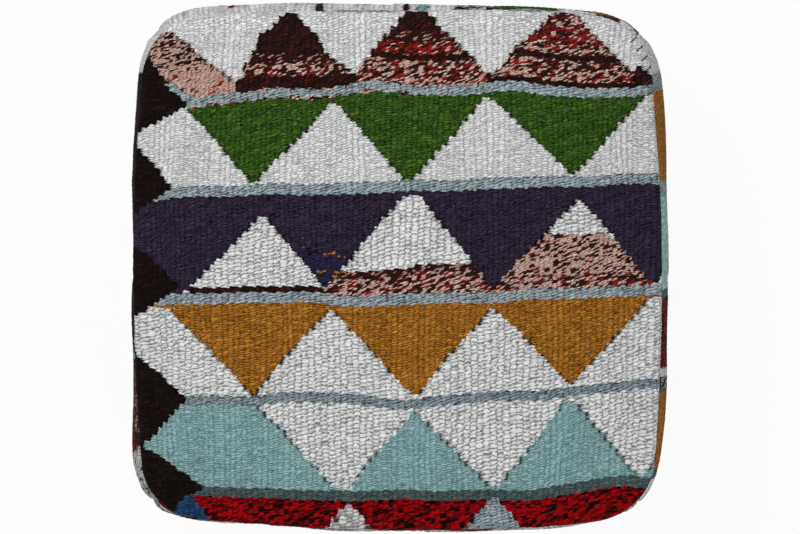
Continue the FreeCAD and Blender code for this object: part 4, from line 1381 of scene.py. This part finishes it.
    def colour(self, mesh: Mesh, column: Array, row: Array, yarn: Array) -> None:
        """Store each face's shades and how its yarn lies, and the yarn's own map.

        Args:
            mesh: the woven mesh.
            column: lattice column of each vertex.
            row: lattice row of each vertex.
            yarn: the yarn of each bead.
        """
        corners = np.empty(len(mesh.loops), int)
        mesh.loops.foreach_get("vertex_index", corners)
        corners = corners.reshape(-1, 4)
        cell_column = column[corners].min(axis=1)
        cell_row = row[corners].min(axis=1)
        warp = cell_column // self.weave.across
        bead = self.bead_of(warp, cell_row, yarn.shape[1] - 1)
        spins = [kind.value for kind in Yarn]
        tables = {
            f"shade_{letter}": [linear(spin.shades[k]) for spin in spins] for k, letter in enumerate("abc")}
        tables["blend"] = [spin.shares + (spin.uneven,) for spin in spins]
        # lay holds how deep the painted shade between the beads is, then pick and slant.
        tables["lay"] = [(spin.gap, spin.pick, spin.slant) for spin in spins]
        for name, table in tables.items():
            layer = mesh.attributes.new(name, "FLOAT_VECTOR", "FACE")
            layer.data.foreach_set("vector", np.array(table, np.float32)[yarn[warp, bead]].ravel())
        mesh.uv_layers[0].name = "OFBake"
        spun = mesh.uv_layers.new(name="spun", do_init=False)
        place = np.stack([column[corners] / self.weave.across, row[corners] / 2.0], axis=-1)
        spun.uv.foreach_set("vector", place.astype(np.float32).ravel())

    def trim(self, piece: Object, edge: Array) -> None:
        """Cut away what lies past the turned-in lip."""
        mesh = piece.data
        make_active(piece)
        past = edge < -self.surface.turn.lip - self.weave.warp / 3.0
        bpy.ops.object.mode_set(mode="EDIT")
        bpy.ops.mesh.select_mode(type="VERT")
        bpy.ops.mesh.select_all(action="DESELECT")
        bpy.ops.object.mode_set(mode="OBJECT")
        mesh.vertices.foreach_set("select", past)
        bpy.ops.object.mode_set(mode="EDIT")
        bpy.ops.mesh.delete(type="VERT")
        bpy.ops.object.mode_set(mode="OBJECT")


# Finishes


def spun_yarn_group() -> NodeTree:
    """Build the effect that shows the twist of a yarn's plies and its fibres."""
    bench, put, place, twist = effect_group("Spun yarn", ("Twist",), ("Ply", "Fibre", "Height"))
    x, y, _ = bench.parts(place)
    phase = x * twist + y * 0.37 + bench.noise(place, 0.7) * 2.6
    wave = bench.math("SINE", phase * (2.0 * math.pi))
    fibre = bench.noise(bench.stretch(place, (3.0, 14.0, 1.0)), 1.0, 3.0, 0.6)
    ply = bench.span(wave, -0.55, 0.55, 0.0, 1.0)
    bench.fill(put, {"Ply": ply, "Fibre": fibre, "Height": wave * 0.35 + fibre})
    return bench.tree


def weft_bead_group() -> NodeTree:
    """Build the effect of slanting weft beads, staggered from warp to warp, with painted shade between and at
    their ends.
    """
    bench, put, place, slant, pick = effect_group(
        "Weft bead", ("Slant", "Pick"), ("Bead", "Height", "Draw", "Tone"))
    x, y, _ = bench.parts(place)
    wide = bench.noise(place, 0.9, 1.0) - 0.5
    tall = bench.noise(bench.stretch(place, (1.0, 0.7, 1.0)), 1.1, 1.0) - 0.5
    column = (x + wide * 0.8) * (pick * 0.5 + 0.7)
    warp = bench.math("FLOOR", column)
    start = bench.made("ShaderNodeTexWhiteNoise", {"W": warp}, "Value", noise_dimensions="1D")
    stagger = bench.math("MODULO", warp, 2.0) * 0.5 + start * 0.4
    across = column - warp - 0.5
    along = y * pick + tall * 1.4 + stagger - across * slant
    order = bench.math("FLOOR", along)
    cell = bench.made("ShaderNodeCombineXYZ", {0: warp, 1: order})
    chance = bench.made("ShaderNodeTexWhiteNoise", {"Vector": cell}, "Color", noise_dimensions="2D")
    drawn, tone, _ = bench.parts(chance, "ShaderNodeSeparateColor")
    sideways = bench.math("ABSOLUTE", across)
    half = 0.48 - bench.math("POWER", sideways * 2.0, 3.0) * 0.22
    off = bench.math("DIVIDE", bench.math("ABSOLUTE", along - order - 0.5), half)
    # Painted shade: the gap between beads and each bead's ends, where it dives under the warp, are masked
    # dark.
    gap = bench.span(off, 0.66, 1.0, 0.0, 1.0)
    end = bench.span(sideways, 0.38, 0.5, 0.0, 0.45)
    dome = bench.math("SUBTRACT", 1.0, off * off, clamp=True)
    shown = 1.0 - bench.math("MAXIMUM", gap, end)
    bench.fill(put, {"Bead": shown, "Height": dome * (1.0 - end), "Draw": drawn, "Tone": tone})
    return bench.tree


def plain_weave_group() -> NodeTree:
    """Build the effect of fine threads crossing over and under each other."""
    bench, put, place, threads = effect_group("Plain weave", ("Threads",), ("Shade", "Height"))
    scaled = bench.made("ShaderNodeVectorMath", {0: place, "Scale": threads}, operation="SCALE")
    x, y, _ = bench.parts(scaled)
    height = bench.math("SINE", x * math.pi) * bench.math("SINE", y * math.pi) * 0.5 + 0.5
    slub = bench.noise(scaled, 0.22, 3.0, 0.6)
    bench.fill(put, {"Shade": height * 0.45 + slub * 0.75, "Height": height + slub * 0.4})
    return bench.tree


def worn_metal_group() -> NodeTree:
    """Build the effect of tarnish in patches with fine rubbing over it."""
    bench, put, place, scale = effect_group("Worn metal", ("Scale",), ("Tarnish", "Rubbed"))
    scaled = bench.made("ShaderNodeVectorMath", {0: place, "Scale": scale}, operation="SCALE")
    tarnish = bench.span(bench.noise(scaled, 1.0, 4.0, 0.6), 0.42, 0.66, 0.0, 1.0)
    rubbed = bench.noise(bench.stretch(scaled, (1.5, 9.0, 9.0)), 2.0, 3.0, 0.6)
    bench.fill(put, {"Tarnish": tarnish, "Rubbed": rubbed})
    return bench.tree


class Effects:
    """The shared effects, each built once."""

    def __init__(self) -> None:
        """Build every group."""
        self.spun = spun_yarn_group()
        self.bead = weft_bead_group()
        self.weave = plain_weave_group()
        self.metal = worn_metal_group()


@dataclass(frozen=True)
class Finish:
    """Base of every finish: a named material with one main shader."""

    name: str

    def start(self) -> tuple[Material, Bench, Node]:
        """Begin the material.

        Returns:
            The material, a bench on its nodes and its main shader.
        """
        material = bpy.data.materials.new(self.name)
        material.use_nodes = True
        return material, Bench(material.node_tree), material.node_tree.nodes["Principled BSDF"]

    @staticmethod
    def raised(bench: Bench, height: Term, strength: float, reach: float) -> Term:
        """Turn a height into the normals of a raised surface."""
        return bench.made("ShaderNodeBump", {"Strength": strength, "Distance": reach, "Height": height})


@dataclass(frozen=True)
class WoolFinish(Finish):
    """Hand-spun wool weft: its shades drawn bead by bead, twist and fibres over them, painted shade between.
    """

    twist: float = 1.1
    # depth and gap_shade set how strong the painted shade between the beads is.
    depth: float = 0.95
    gap_shade: float = 0.3
    flow: float = 0.18

    def shade(self, bench: Bench, place: Term, bead: dict[str, Term]) -> Term:
        """Draw each bead's shade and its lightness.

        Args:
            bench: the material's nodes.
            place: the yarn's own map.
            bead: the outputs of the placed bead effect.

        Returns:
            The shade.
        """
        upto_first, upto_second, uneven = bench.parts(bench.stored("blend"))
        first, second, third = [bench.stored(name) for name in ("shade_a", "shade_b", "shade_c")]
        flow = bench.noise(bench.stretch(place, (0.3, 0.9, 1.0)), 1.0, 1.0) - 0.5
        drawn = bead["Draw"] + flow * self.flow
        mixed = bench.blend("MIX", bench.math("GREATER_THAN", drawn, upto_first), first, second)
        mixed = bench.blend("MIX", bench.math("GREATER_THAN", drawn, upto_second), mixed, third)
        return self.toned(bench, mixed, (bead["Tone"] - 0.5) * uneven * 2.0 + 1.0)

    @staticmethod
    def toned(bench: Bench, shade: Term, amount: Term) -> Term:
        """Make a shade lighter or darker."""
        tone = bench.made("ShaderNodeCombineColor", {0: amount, 1: amount, 2: amount})
        return bench.blend("MULTIPLY", 1.0, shade, tone)

    def make(self, effects: Effects) -> Material:
        """Build the material."""
        material, bench, shader = self.start()
        place = bench.made("ShaderNodeUVMap", {}, uv_map="spun")
        spun = bench.group(effects.spun, place, self.twist)
        cavity = bench.stored("cavity", "Fac")
        gap, pick, slant = bench.parts(bench.stored("lay"))
        bead = bench.group(effects.bead, place, slant, pick)
        fibre = bench.span(spun["Fibre"], 0.3, 0.7, 0.82, 1.14)
        ply = bench.span(spun["Ply"], 0.0, 1.0, 1.0, 0.9)
        # Painted shade in the slits: the colour darkens where the openness is low.
        slit = bench.span(cavity, 0.2, 0.62, 0.02, 1.0)
        lit = self.toned(bench, self.shade(bench, place, bead), fibre * ply * slit)
        # Painted shade between the beads and at their ends: the colour mixes towards a darker, deeper copy of
        # itself.
        open_part = bench.span(cavity, 0.3, 1.0, 0.5, 1.0) * bead["Bead"]
        gap_shade_share = (1.0 - open_part) * self.depth * gap
        gap_shade_colour = (self.gap_shade,) * 3 + (1.0,)
        deep = bench.blend("MULTIPLY", 1.0, lit, bench.blend("MULTIPLY", 1.0, lit, gap_shade_colour))
        lift = bead["Height"] + spun["Height"] * 0.25
        bench.fill(shader, {
            "Base Color": bench.blend("MIX", gap_shade_share, lit, deep),
            "Roughness": bench.span(spun["Fibre"], 0.2, 0.8, 0.78, 0.97),
            "Sheen Weight": 0.01,
            "Sheen Roughness": 0.5,
            "Specular IOR Level": 0.04,
            "Normal": self.raised(bench, lift, 0.8, 0.0012),
        })
        return material


@dataclass(frozen=True)
class ClothFinish(Finish):
    """Plain woven cloth of one colour, its threads shown at their real size."""

    colour: Colour
    shadow: Colour
    threads: float
    depth: float

    def make(self, effects: Effects) -> Material:
        """Build the material."""
        material, bench, shader = self.start()
        weave = bench.group(effects.weave, bench.made("ShaderNodeTexCoord", {}, "Object"), self.threads)
        shade = bench.span(weave["Shade"], 0.2, 0.9, 0.0, 1.0)
        bench.fill(shader, {
            "Base Color": bench.blend("MIX", shade, rgba(self.shadow), rgba(self.colour)),
            "Roughness": bench.span(weave["Shade"], 0.0, 1.0, 0.95, 0.8),
            "Specular IOR Level": 0.2,
            "Normal": self.raised(bench, weave["Height"], 0.6, self.depth),
        })
        return material


@dataclass(frozen=True)
class BrassFinish(Finish):
    """Brass that handling has rubbed bright, dull and brown where it hasn't."""

    bright: Colour = (214, 176, 104)
    dull: Colour = (128, 94, 46)
    scale: float = 160.0

    def make(self, effects: Effects) -> Material:
        """Build the material."""
        material, bench, shader = self.start()
        worn = bench.group(effects.metal, bench.made("ShaderNodeTexCoord", {}, "Object"), self.scale)
        tarnish, rubbed = worn["Tarnish"], worn["Rubbed"]
        bench.fill(shader, {
            "Base Color": bench.blend("MIX", tarnish, rgba(self.bright), rgba(self.dull)),
            "Roughness": bench.span(tarnish, 0.0, 1.0, 0.22, 0.42) + rubbed * 0.12,
            "Metallic": 1.0,
            "Normal": self.raised(bench, rubbed, 0.15, 0.0002),
        })
        return material


# Sub-assemblies


@dataclass
class KilimCover:
    """The five woven panels of the cover."""

    form: CoverForm
    weave: Weave
    wool: Material
    turn: SeamTurn
    stuffing: Stuffing
    opening_half: float = 0.198
    top_edge: float = 0.012
    top_spare: float = 0.03
    side_spare: float = 0.006

    def top_cloth(self) -> TopSurface:
        """Give where the top panel lies."""
        return TopSurface(self.form, SeamTurn(curl=0.0045, depth=0.002, puff=0.0034), Lie(11), self.stuffing)

    def side_cloth(self, side: Side) -> SideSurface:
        """Give where an upright panel lies; the back one has the zip's opening."""
        opening = self.opening_half if side is Side.BACK else 0.0
        corner_turn = SeamTurn(curl=0.0045, depth=0.0012)
        lie = Lie(31 + list(Side).index(side))
        return SideSurface(self.form, side, self.turn, corner_turn, lie, self.stuffing, opening)

    def build(self) -> None:
        """Weave and dress every panel, and attach it in place of its solid."""
        top = self.top_cloth()
        spare = self.turn.lip + self.top_spare
        half = top.profile()[0][-1]
        halves = (half + self.top_edge, half + spare)
        plans = [("kilim_top", top, top_chart(), WeftWay.LEVEL, halves, 21, (2 * half, 2 * half))]
        walls = (
            (Side.FRONT, front_chart(), WeftWay.LEVEL), (Side.RIGHT, right_chart(), WeftWay.DOWN),
            (Side.BACK, back_chart(), WeftWay.LEVEL), (Side.LEFT, left_chart(), WeftWay.UP),
        )
        spare = self.turn.lip + self.side_spare
        for seed, (side, chart, way) in enumerate(walls, 41):
            surface = self.side_cloth(side)
            long, tall = surface.half_length, surface.height / 2.0
            halves = (long + spare, tall + spare)
            if way is not WeftWay.LEVEL:
                halves = halves[::-1]
            node = f"kilim_{side.name.lower()}"
            plans.append((node, surface, chart, way, halves, seed, (2 * long, 2 * tall)))
        for node, surface, chart, way, halves, seed, flat in plans:
            piece = WovenPanel(node + "_woven", surface, chart, self.weave, way, *halves, seed).build()
            dress(piece, self.wool)
            enter(piece, node)


@dataclass
class SeamStitching:
    """Short stitches sunk in the cover's seams."""

    form: CoverForm
    stuffing: Stuffing
    thread: Material
    top_cloth: TopSurface
    right_cloth: SideSurface
    length: float = 0.0062
    pitch: float = 0.0085
    thick: float = 0.0011
    sunk: float = 0.0016
    mended_from: float = 35.0
    mended_to: float = 44.0
    mends: int = 6
    corner_clear: float = 0.004
    reach: float = 0.003

    def build(self) -> None:
        """Sew the top seam, the corner seams and the base seam."""
        top = self.closed_line(self.form.top_seam)
        base = self.closed_line(self.form.base_seam)
        z = np.linspace(self.form.base_seam + self.corner_clear, self.form.top_seam - self.corner_clear, 400)
        corners = [self.form.side_points(side, 1.0, z, self.sunk) for side in Side]
        for name, lines, node in (
            ("top_seam_stitches", [top], "top_seam_thread"),
            ("corner_seam_stitches", corners, "corner_seam_threads"),
            ("base_seam_stitches", [base], "base_seam_thread"),
        ):
            mends = self.mended() if node == "top_seam_thread" else []
            piece = self.sewn(name, [self.stuffing.filled(line) for line in lines], mends)
            dress(piece, self.thread)
            enter(piece, node)

    def closed_line(self, z: float) -> Array:
        """Give the line of a level seam all round."""
        ring = self.form.perimeter(z, self.sunk, 400)
        return np.concatenate([ring, ring[:1]])

    def stitch(self) -> Object:
        """Model one stitch: a rounded length of thread along x."""
        clear_selection()
        bpy.ops.mesh.primitive_cylinder_add(
            vertices=6, radius=self.thick / 2, depth=self.length, end_fill_type="NGON",
            rotation=(0, math.pi / 2, 0))
        piece = bpy.context.active_object
        bpy.ops.object.transform_apply(location=True, rotation=True, scale=True)
        bpy.ops.object.mode_set(mode="EDIT")
        bpy.ops.mesh.select_all(action="SELECT")
        bpy.ops.mesh.bevel(offset=self.thick * 0.3, segments=1, affect="EDGES")
        bpy.ops.object.mode_set(mode="OBJECT")
        return piece

    def mended(self) -> list:
        """Give the lines of the whip stitches over the top seam at the back right corner.

        Returns:
            One line of points for each stitch, from inside the top over the edge into the side.
        """
        top_cloth, right_cloth = self.top_cloth, self.right_cloth
        shares = np.linspace(0.6, 1.0, 200)
        seam = self.form.side_points(Side.RIGHT, shares, self.form.top_seam, 0.0)
        turns = np.arctan2(seam[:, 1], seam[:, 0])
        run = top_cloth.profile()[0][-1]
        rolled = np.array(((0.015, -0.001), (0.013, 0.001), (0.0085, 0.0014), (0.003, 0.0013)))
        sewn_down = np.array(((0.002, 0.0012), (0.004, 0.001), (0.0055, -0.001)))
        lift = np.concatenate([rolled, sewn_down])[:, 1:]
        lines = []
        for turn in np.radians(np.linspace(self.mended_from, self.mended_to, self.mends)):
            out = np.array([math.cos(turn), math.sin(turn)])
            reach = (run - rolled[:, 0]) / top_cloth.half / self.form.gauge(*out)
            above = top_cloth.place(reach * out[0], reach * out[1])
            along = (np.interp(turn, turns, shares) - 0.008) * right_cloth.half_length
            heights = right_cloth.height / 2.0 - sewn_down[:, 0]
            below = right_cloth.place(np.full(len(heights), along), heights)
            off = np.array([*out, 0.5])
            lines.append(np.concatenate([above, below]) + off / np.linalg.norm(off) * lift)
        return lines

    def sewn(self, name: str, lines: list, mends: list) -> Object:
        """Copy the stitch along seam lines.

        Args:
            name: the piece's name.
            lines: the seams, each as points.
            mends: stitches that have lines of their own.

        Returns:
            The stitches as one piece.
        """
        model = self.stitch()
        shape = np.array([vertex.co for vertex in model.data.vertices])
        faces = [list(face.vertices) for face in model.data.polygons]
        bpy.data.objects.remove(model)
        points, polygons = [], []
        for line in lines:
            run = np.concatenate([[0.0], np.cumsum(np.linalg.norm(np.diff(line, axis=0), axis=1))])
            count = int(run[-1] / self.pitch)
            for middle in (np.arange(count) + 0.5) * run[-1] / count:
                places = middle + np.array([-self.reach, 0.0, self.reach])
                before, here, after = np.stack([np.interp(places, run, line[:, k]) for k in range(3)], axis=1)
                ahead = (after - before) / np.linalg.norm(after - before)
                side = np.cross(ahead, here * (1, 1, 0))
                side /= np.linalg.norm(side)
                turn = np.stack([ahead, side, np.cross(ahead, side)])
                polygons += [[index + len(points) * len(shape) for index in face] for face in faces]
                points.append(shape @ turn + here)
        done = np.concatenate(points)
        for line in mends:
            tube, sides = loft(thread_rings(line, self.thick / 2))
            polygons += [[index + len(done) for index in side] for side in sides]
            done = np.concatenate([done, tube])
        piece = mesh_piece(name, done, polygons)
        face_outwards(piece)
        return piece


@dataclass
class CanvasBase:
    """The canvas tray under the pouf, turned up to the base seam, open for the zip at the back."""

    form: CoverForm
    canvas: Material
    half_width: float = 0.2585
    half_depth: float = 0.2535
    rim: float = 0.0171
    turn: float = 0.008
    thick: float = 0.0022
    bulge: float = 0.0012
    pucker: float = 0.0006
    puckers: int = 84
    opening_half: float = 0.1898
    opening_floor: float = 0.0087
    opening_from: float = 0.2
    lift: float = 0.0001

    def build(self) -> None:
        inset = self.form.half_width - self.form.drawn_in - self.half_width
        share = np.unique(np.round(np.concatenate([np.linspace(-1.0, 1.0, 121), [-0.716, 0.716]]), 4))[:-1]
        outer = np.concatenate(
            [self.form.side_points(side, share, self.form.base_seam, inset) for side in Side]) * (1, 1, 0)
        rings = [np.zeros((1, 3)), *(outer * scale for scale in np.linspace(0.08, 0.94, 12))]
        shrink = 1.0 - self.turn / self.half_depth
        for angle in np.linspace(0.0, math.pi / 2, 6):
            scale = shrink + (1.0 - shrink) * math.sin(angle)
            rings.append(outer * scale + (0, 0, self.turn * (1 - math.cos(angle))))
        steps = np.linalg.norm(outer - np.roll(outer, 1, axis=0), axis=1)
        wave = np.sin(np.cumsum(steps) / steps.sum() * 2.0 * math.pi * self.puckers)[:, None]
        for z in (self.opening_floor, 0.0115, 0.0143, self.rim):
            up = (z - self.turn) / (self.rim - self.turn)
            grown = self.bulge * math.sin(math.pi * up) + self.pucker * up * wave
            rings.append(outer * (1.0 + grown / self.half_depth) + (0, 0, z))
        points, faces = loft(rings)
        points[:, 2] += self.lift
        x, y, z = np.array([points[face].mean(axis=0) for face in faces]).T
        cut = (abs(x) < self.opening_half) & (y > self.opening_from) & (z > self.opening_floor)
        piece = mesh_piece("base_canvas_tray", points, [face for face, gone in zip(faces, cut) if not gone])
        apply_modifier(piece, "SOLIDIFY", thickness=self.thick, offset=-1.0)
        dress(piece, self.canvas)
        enter(piece, "base_cloth")


@dataclass
class Filling:
    """The calico bag, its wadding and the foam inside."""

    form: CoverForm
    stuffing: Stuffing
    calico: Material
    wadding: Material
    foam: Material
    bag_inset: float = 0.005
    pad_inset: float = 0.0066
    foam_half: tuple = (0.2276, 0.2226)
    foam_split: float = 0.19185
    foam_floor: float = 0.0042
    foam_room: float = 0.003
    foam_corner: float = 0.03
    foam_edge: float = 0.002
    floor: float = 0.003
    drawn_in: float = 0.014
    drawn_up: float = 0.09

    def build(self) -> None:
        """Build and dress every piece of the filling, each a little off the next, and attach it in place of
        its solid.
        """
        top_seam = self.form.top_seam
        crown = self.crown_rings(self.bag_inset + 0.0003, top_seam + 0.0003)
        self.cloth("inner_bag_top", crown, (0.52, 0.51))
        heights = np.linspace(self.floor + 0.0005, top_seam - 0.0004, 20)
        self.cloth("inner_bag_band", [self.wall(z, self.bag_inset) for z in heights], (2.1, 0.27))
        edge = self.wall(self.floor, self.bag_inset)
        disc = [np.array([[0.0, 0.0, self.floor + 0.0004]])]
        disc += [edge * (s, s, 1) + (0, 0, 0.0004) for s in np.linspace(0.12, 0.985, 10)]
        self.cloth("inner_bag_base", disc, (0.49, 0.48))
        rings = self.crown_rings(self.pad_inset + 0.0004, top_seam + 0.0006)
        floor = [ring * (1, 1, 0) + (0, 0, top_seam + 0.0004) for ring in rings[:0:-1]]
        self.pad("wadding_top", loft(rings + floor[1:] + [np.array([[0.0, 0.0, top_seam + 0.0004]])]))
        low, high = self.floor + 0.002, top_seam - 0.001
        outer = [self.wall(z, self.pad_inset) for z in np.linspace(low, high, 20)]
        inner = [self.foam_ring(z) for z in np.linspace(high, low, 6)]
        self.pad("wadding_band", loft(outer + inner, tube=True))
        self.block("foam_core_block", self.foam_floor, self.foam_split - 0.0001, "foam_core")
        self.block("foam_top_block", self.foam_split + 0.0001, top_seam - 0.0003, "foam_top_slab")

    def wall(self, z: float, inset: float) -> Array:
        """Give the bag's outline at a height, drawn in towards the base."""
        drawn = self.drawn_in * max(0.0, 1.0 - z / self.drawn_up) ** 2
        return self.stuffing.filled(self.form.perimeter(z, inset + drawn))

    def crown_rings(self, inset: float, z: float) -> list:
        """Give the rings of a crown that lies inside the cover's."""
        edge = self.form.perimeter(self.form.top_seam, inset) * (1, 1, 0)
        rise = self.form.crown_rise - inset
        rings = [np.array([[0.0, 0.0, z + rise]])]
        for angle in np.linspace(math.pi / 2, 0.0, 22)[1:]:
            rings.append(edge * math.cos(angle) ** (2 / 3) + (0, 0, z + rise * math.sin(angle) ** (2 / 3)))
        return [self.stuffing.filled(ring) for ring in rings]

    def foam_ring(self, z: float) -> Array:
        """Give the ring just outside the foam, in step with the cover's."""
        ring = self.form.perimeter(self.form.top_seam, 0.0)
        across, deep, _, _ = self.form.outline(self.form.top_seam)
        width, depth = (half + self.foam_room for half in self.foam_half)
        scale = np.array([width / across, depth / deep, 0.0])
        return ring * scale + (0, 0, z)

    def cloth(self, node: str, rings: list, flat: tuple) -> None:
        """Make one calico piece of the bag."""
        piece = mesh_piece(node + "_cloth", *loft(rings))
        face_outwards(piece)
        dress(piece, self.calico)
        enter(piece, node)

    def pad(self, node: str, skin: tuple) -> None:
        """Make one piece of wadding."""
        piece = mesh_piece(node + "_pad", *skin)
        face_outwards(piece)
        dress(piece, self.wadding)
        enter(piece, node)

    def block(self, name: str, low: float, high: float, node: str) -> None:
        """Cut one foam block: a box with rounded uprights and softened edges."""
        clear_selection()
        bpy.ops.mesh.primitive_cube_add(size=1.0, location=(0, 0, (low + high) / 2))
        piece = bpy.context.active_object
        piece.name = piece.data.name = name
        piece.scale = (2 * self.foam_half[0], 2 * self.foam_half[1], high - low)
        bpy.ops.object.transform_apply(location=True, rotation=True, scale=True)
        mesh = piece.data
        bpy.ops.object.mode_set(mode="EDIT")
        bpy.ops.mesh.select_mode(type="EDGE")
        bpy.ops.mesh.select_all(action="DESELECT")
        bpy.ops.object.mode_set(mode="OBJECT")
        for edge in mesh.edges:
            ends = [mesh.vertices[index].co for index in edge.vertices]
            edge.select = abs(ends[0].z - ends[1].z) > 0.01
        bpy.ops.object.mode_set(mode="EDIT")
        bpy.ops.mesh.bevel(offset=self.foam_corner, segments=8, affect="EDGES")
        bpy.ops.object.mode_set(mode="OBJECT")
        apply_modifier(piece, "BEVEL", width=self.foam_edge, segments=2)
        bpy.ops.object.shade_smooth_by_angle(angle=math.radians(40))
        dress(piece, self.foam)
        enter(piece, node)


@dataclass
class BrassZip:
    """The closing: two woven tapes, and the brass parts that the solids already give."""

    tape: Material
    brass: Material
    half_length: float = 0.1938
    plane: float = 0.2503
    thick: float = 0.0007
    spans: tuple = (("zip_tape_upper", 0.0203, 0.0291), ("zip_tape_lower", 0.0063, 0.0151))
    metal: tuple = (
        "zip_teeth_upper", "zip_teeth_lower", "zip_top_stops", "zip_bottom_stop", "zip_slider", "zip_pull")
    rib: float = 0.00012
    room: float = 0.0003

    def build(self) -> None:
        """Weave the tapes and dress the metal."""
        for node, low, high in self.spans:
            piece = self.woven_tape(node + "_woven", low, high)
            dress(piece, self.tape)
            enter(piece, node)
        for node in self.metal:
            dress(frame["nodes"][node], self.brass)
            LOG.info("%s: carried over in brass", node)

    def woven_tape(self, name: str, low: float, high: float) -> Object:
        """Model one tape: a ribbed strip with its beaded edge."""
        clear_selection()
        bpy.ops.mesh.primitive_grid_add(x_subdivisions=200, y_subdivisions=8, size=1.0)
        piece = bpy.context.active_object
        piece.name = piece.data.name = name
        piece.scale = (2 * self.half_length, high - low, 1.0)
        piece.rotation_euler = (math.pi / 2, 0.0, math.pi)
        piece.location = (0.0, self.plane + self.thick / 2, (low + high) / 2)
        bpy.ops.object.transform_apply(location=True, rotation=True, scale=True)
        for vertex in piece.data.vertices:
            rib = math.cos((vertex.co.z - low) / (high - low) * 8 * math.pi)
            vertex.co.y -= self.rib * (1 - rib)
        apply_modifier(piece, "SOLIDIFY", thickness=self.thick - self.room, offset=-1.0)
        return piece


@dataclass
class Studio:
    """Floor, lamps and the camera over the pouf."""

    eye: tuple = (0.062, 0.056, 1.97)
    aim: tuple = (0.004, 0.0055, 0.29)
    picture_width: float = 0.7885
    sensor: float = 36.0
    ambient: float = 0.42
    floor_glow: float = 0.94

    def build(self) -> None:
        """Set up the whole studio."""
        self.floor()
        self.lamp("key_lamp", (-0.9, 1.3, 2.6), 1.4, 49.0)
        self.lamp("fill_lamp", (1.6, -1.2, 2.4), 2.2, 20.0)
        self.world()
        bpy.context.scene.view_settings.view_transform = "Standard"
        self.camera()

    @staticmethod
    def seen_directly(bench: Bench) -> Term:
        """Tell the rays that show the surroundings: from the camera, off gloss and through glass."""
        path = bench.add("ShaderNodeLightPath")
        rays = [Term(bench, path.outputs[f"Is {kind} Ray"]) for kind in ("Camera", "Glossy", "Transmission")]
        return bench.math("MAXIMUM", bench.math("MAXIMUM", rays[0], rays[1]), rays[2])

    def world(self) -> None:
        """Surround the pouf with even light, white where it is seen."""
        world = bpy.data.worlds.new("studio_light")
        world.use_nodes = True
        bench = Bench(world.node_tree)
        strength = bench.span(self.seen_directly(bench), 0.0, 1.0, self.ambient, 1.0)
        bench.fill(world.node_tree.nodes["Background"], {"Color": (1.0, 1.0, 1.0, 1.0), "Strength": strength})
        bpy.context.scene.world = world

    def floor(self) -> None:
        """Lay a white floor that keeps the pouf's shadow."""
        clear_selection()
        bpy.ops.mesh.primitive_plane_add(size=30.0, location=(0.0, 0.0, -0.0002))
        floor = bpy.context.active_object
        floor.name = "studio_floor"
        material, bench, shader = Finish("studio_white").start()
        bench.fill(shader, {"Base Color": (0.88, 0.88, 0.88, 1.0), "Roughness": 0.9})
        glow = bench.made("ShaderNodeEmission", {"Strength": 1.0})
        share = self.seen_directly(bench) * self.floor_glow
        mixed = bench.made("ShaderNodeMixShader", {0: share, 1: Term(bench, shader.outputs[0]), 2: glow})
        bench.fill(material.node_tree.nodes["Material Output"], {"Surface": mixed})
        dress(floor, material)

    @staticmethod
    def lamp(name: str, place: tuple, size: float, power: float) -> None:
        """Hang a square lamp that faces the pouf."""
        data = bpy.data.lights.new(name, "AREA")
        data.size = size
        data.energy = power
        lamp = bpy.data.objects.new(name, data)
        lamp.location = place
        lamp.rotation_euler = (Vector((0.0, 0.0, 0.25)) - Vector(place)).to_track_quat("-Z", "Y").to_euler()
        bpy.context.scene.collection.objects.link(lamp)

    def camera(self) -> None:
        """Hang the camera almost straight over the pouf, with the back of the pouf upwards in the picture."""
        data = bpy.data.cameras.new("overhead_camera")
        camera = bpy.data.objects.new("overhead_camera", data)
        bpy.context.scene.collection.objects.link(camera)
        eye, aim = Vector(self.eye), Vector(self.aim)
        ahead = (aim - eye).normalized()
        right = ahead.cross(Vector((0.0, 1.0, 0.0))).normalized()
        up = right.cross(ahead)
        turn = Matrix((right, up, -ahead)).transposed()
        camera.matrix_world = Matrix.Translation(eye) @ turn.to_4x4()
        data.sensor_width = self.sensor
        data.lens = self.sensor * (aim - eye).length / self.picture_width
        data.clip_end = 100.0
        bpy.context.scene.camera = camera


def main() -> None:
    """Build every sub-assembly in order."""
    logging.basicConfig(level=logging.INFO, format="%(message)s")
    effects = Effects()
    form = CoverForm()
    turn = SeamTurn()
    calico = ClothFinish("calico", (222, 214, 196), (190, 180, 158), 1100.0, 0.0002).make(effects)
    batting = ClothFinish("wadding", (238, 236, 230), (212, 210, 204), 240.0, 0.001).make(effects)
    foam = ClothFinish("foam", (232, 220, 178), (204, 188, 140), 420.0, 0.0006).make(effects)
    stuffing = Stuffing(form)
    Filling(form, stuffing, calico, batting, foam).build()
    stuffing.settle()
    cover = KilimCover(form, Weave(), WoolFinish("kilim_wool").make(effects), turn, stuffing)
    cover.build()
    thread = ClothFinish("seam_thread", (70, 62, 56), (34, 30, 28), 2600.0, 0.0002).make(effects)
    SeamStitching(form, stuffing, thread, cover.top_cloth(), cover.side_cloth(Side.RIGHT)).build()
    canvas = ClothFinish("base_canvas", (126, 112, 92), (78, 68, 54), 620.0, 0.0005).make(effects)
    CanvasBase(form, canvas).build()
    tape = ClothFinish("zip_tape", (40, 38, 38), (20, 19, 19), 1900.0, 0.0002).make(effects)
    BrassZip(tape, BrassFinish("zip_brass").make(effects)).build()
    Studio().build()


if __name__ == "__main__":
    main()
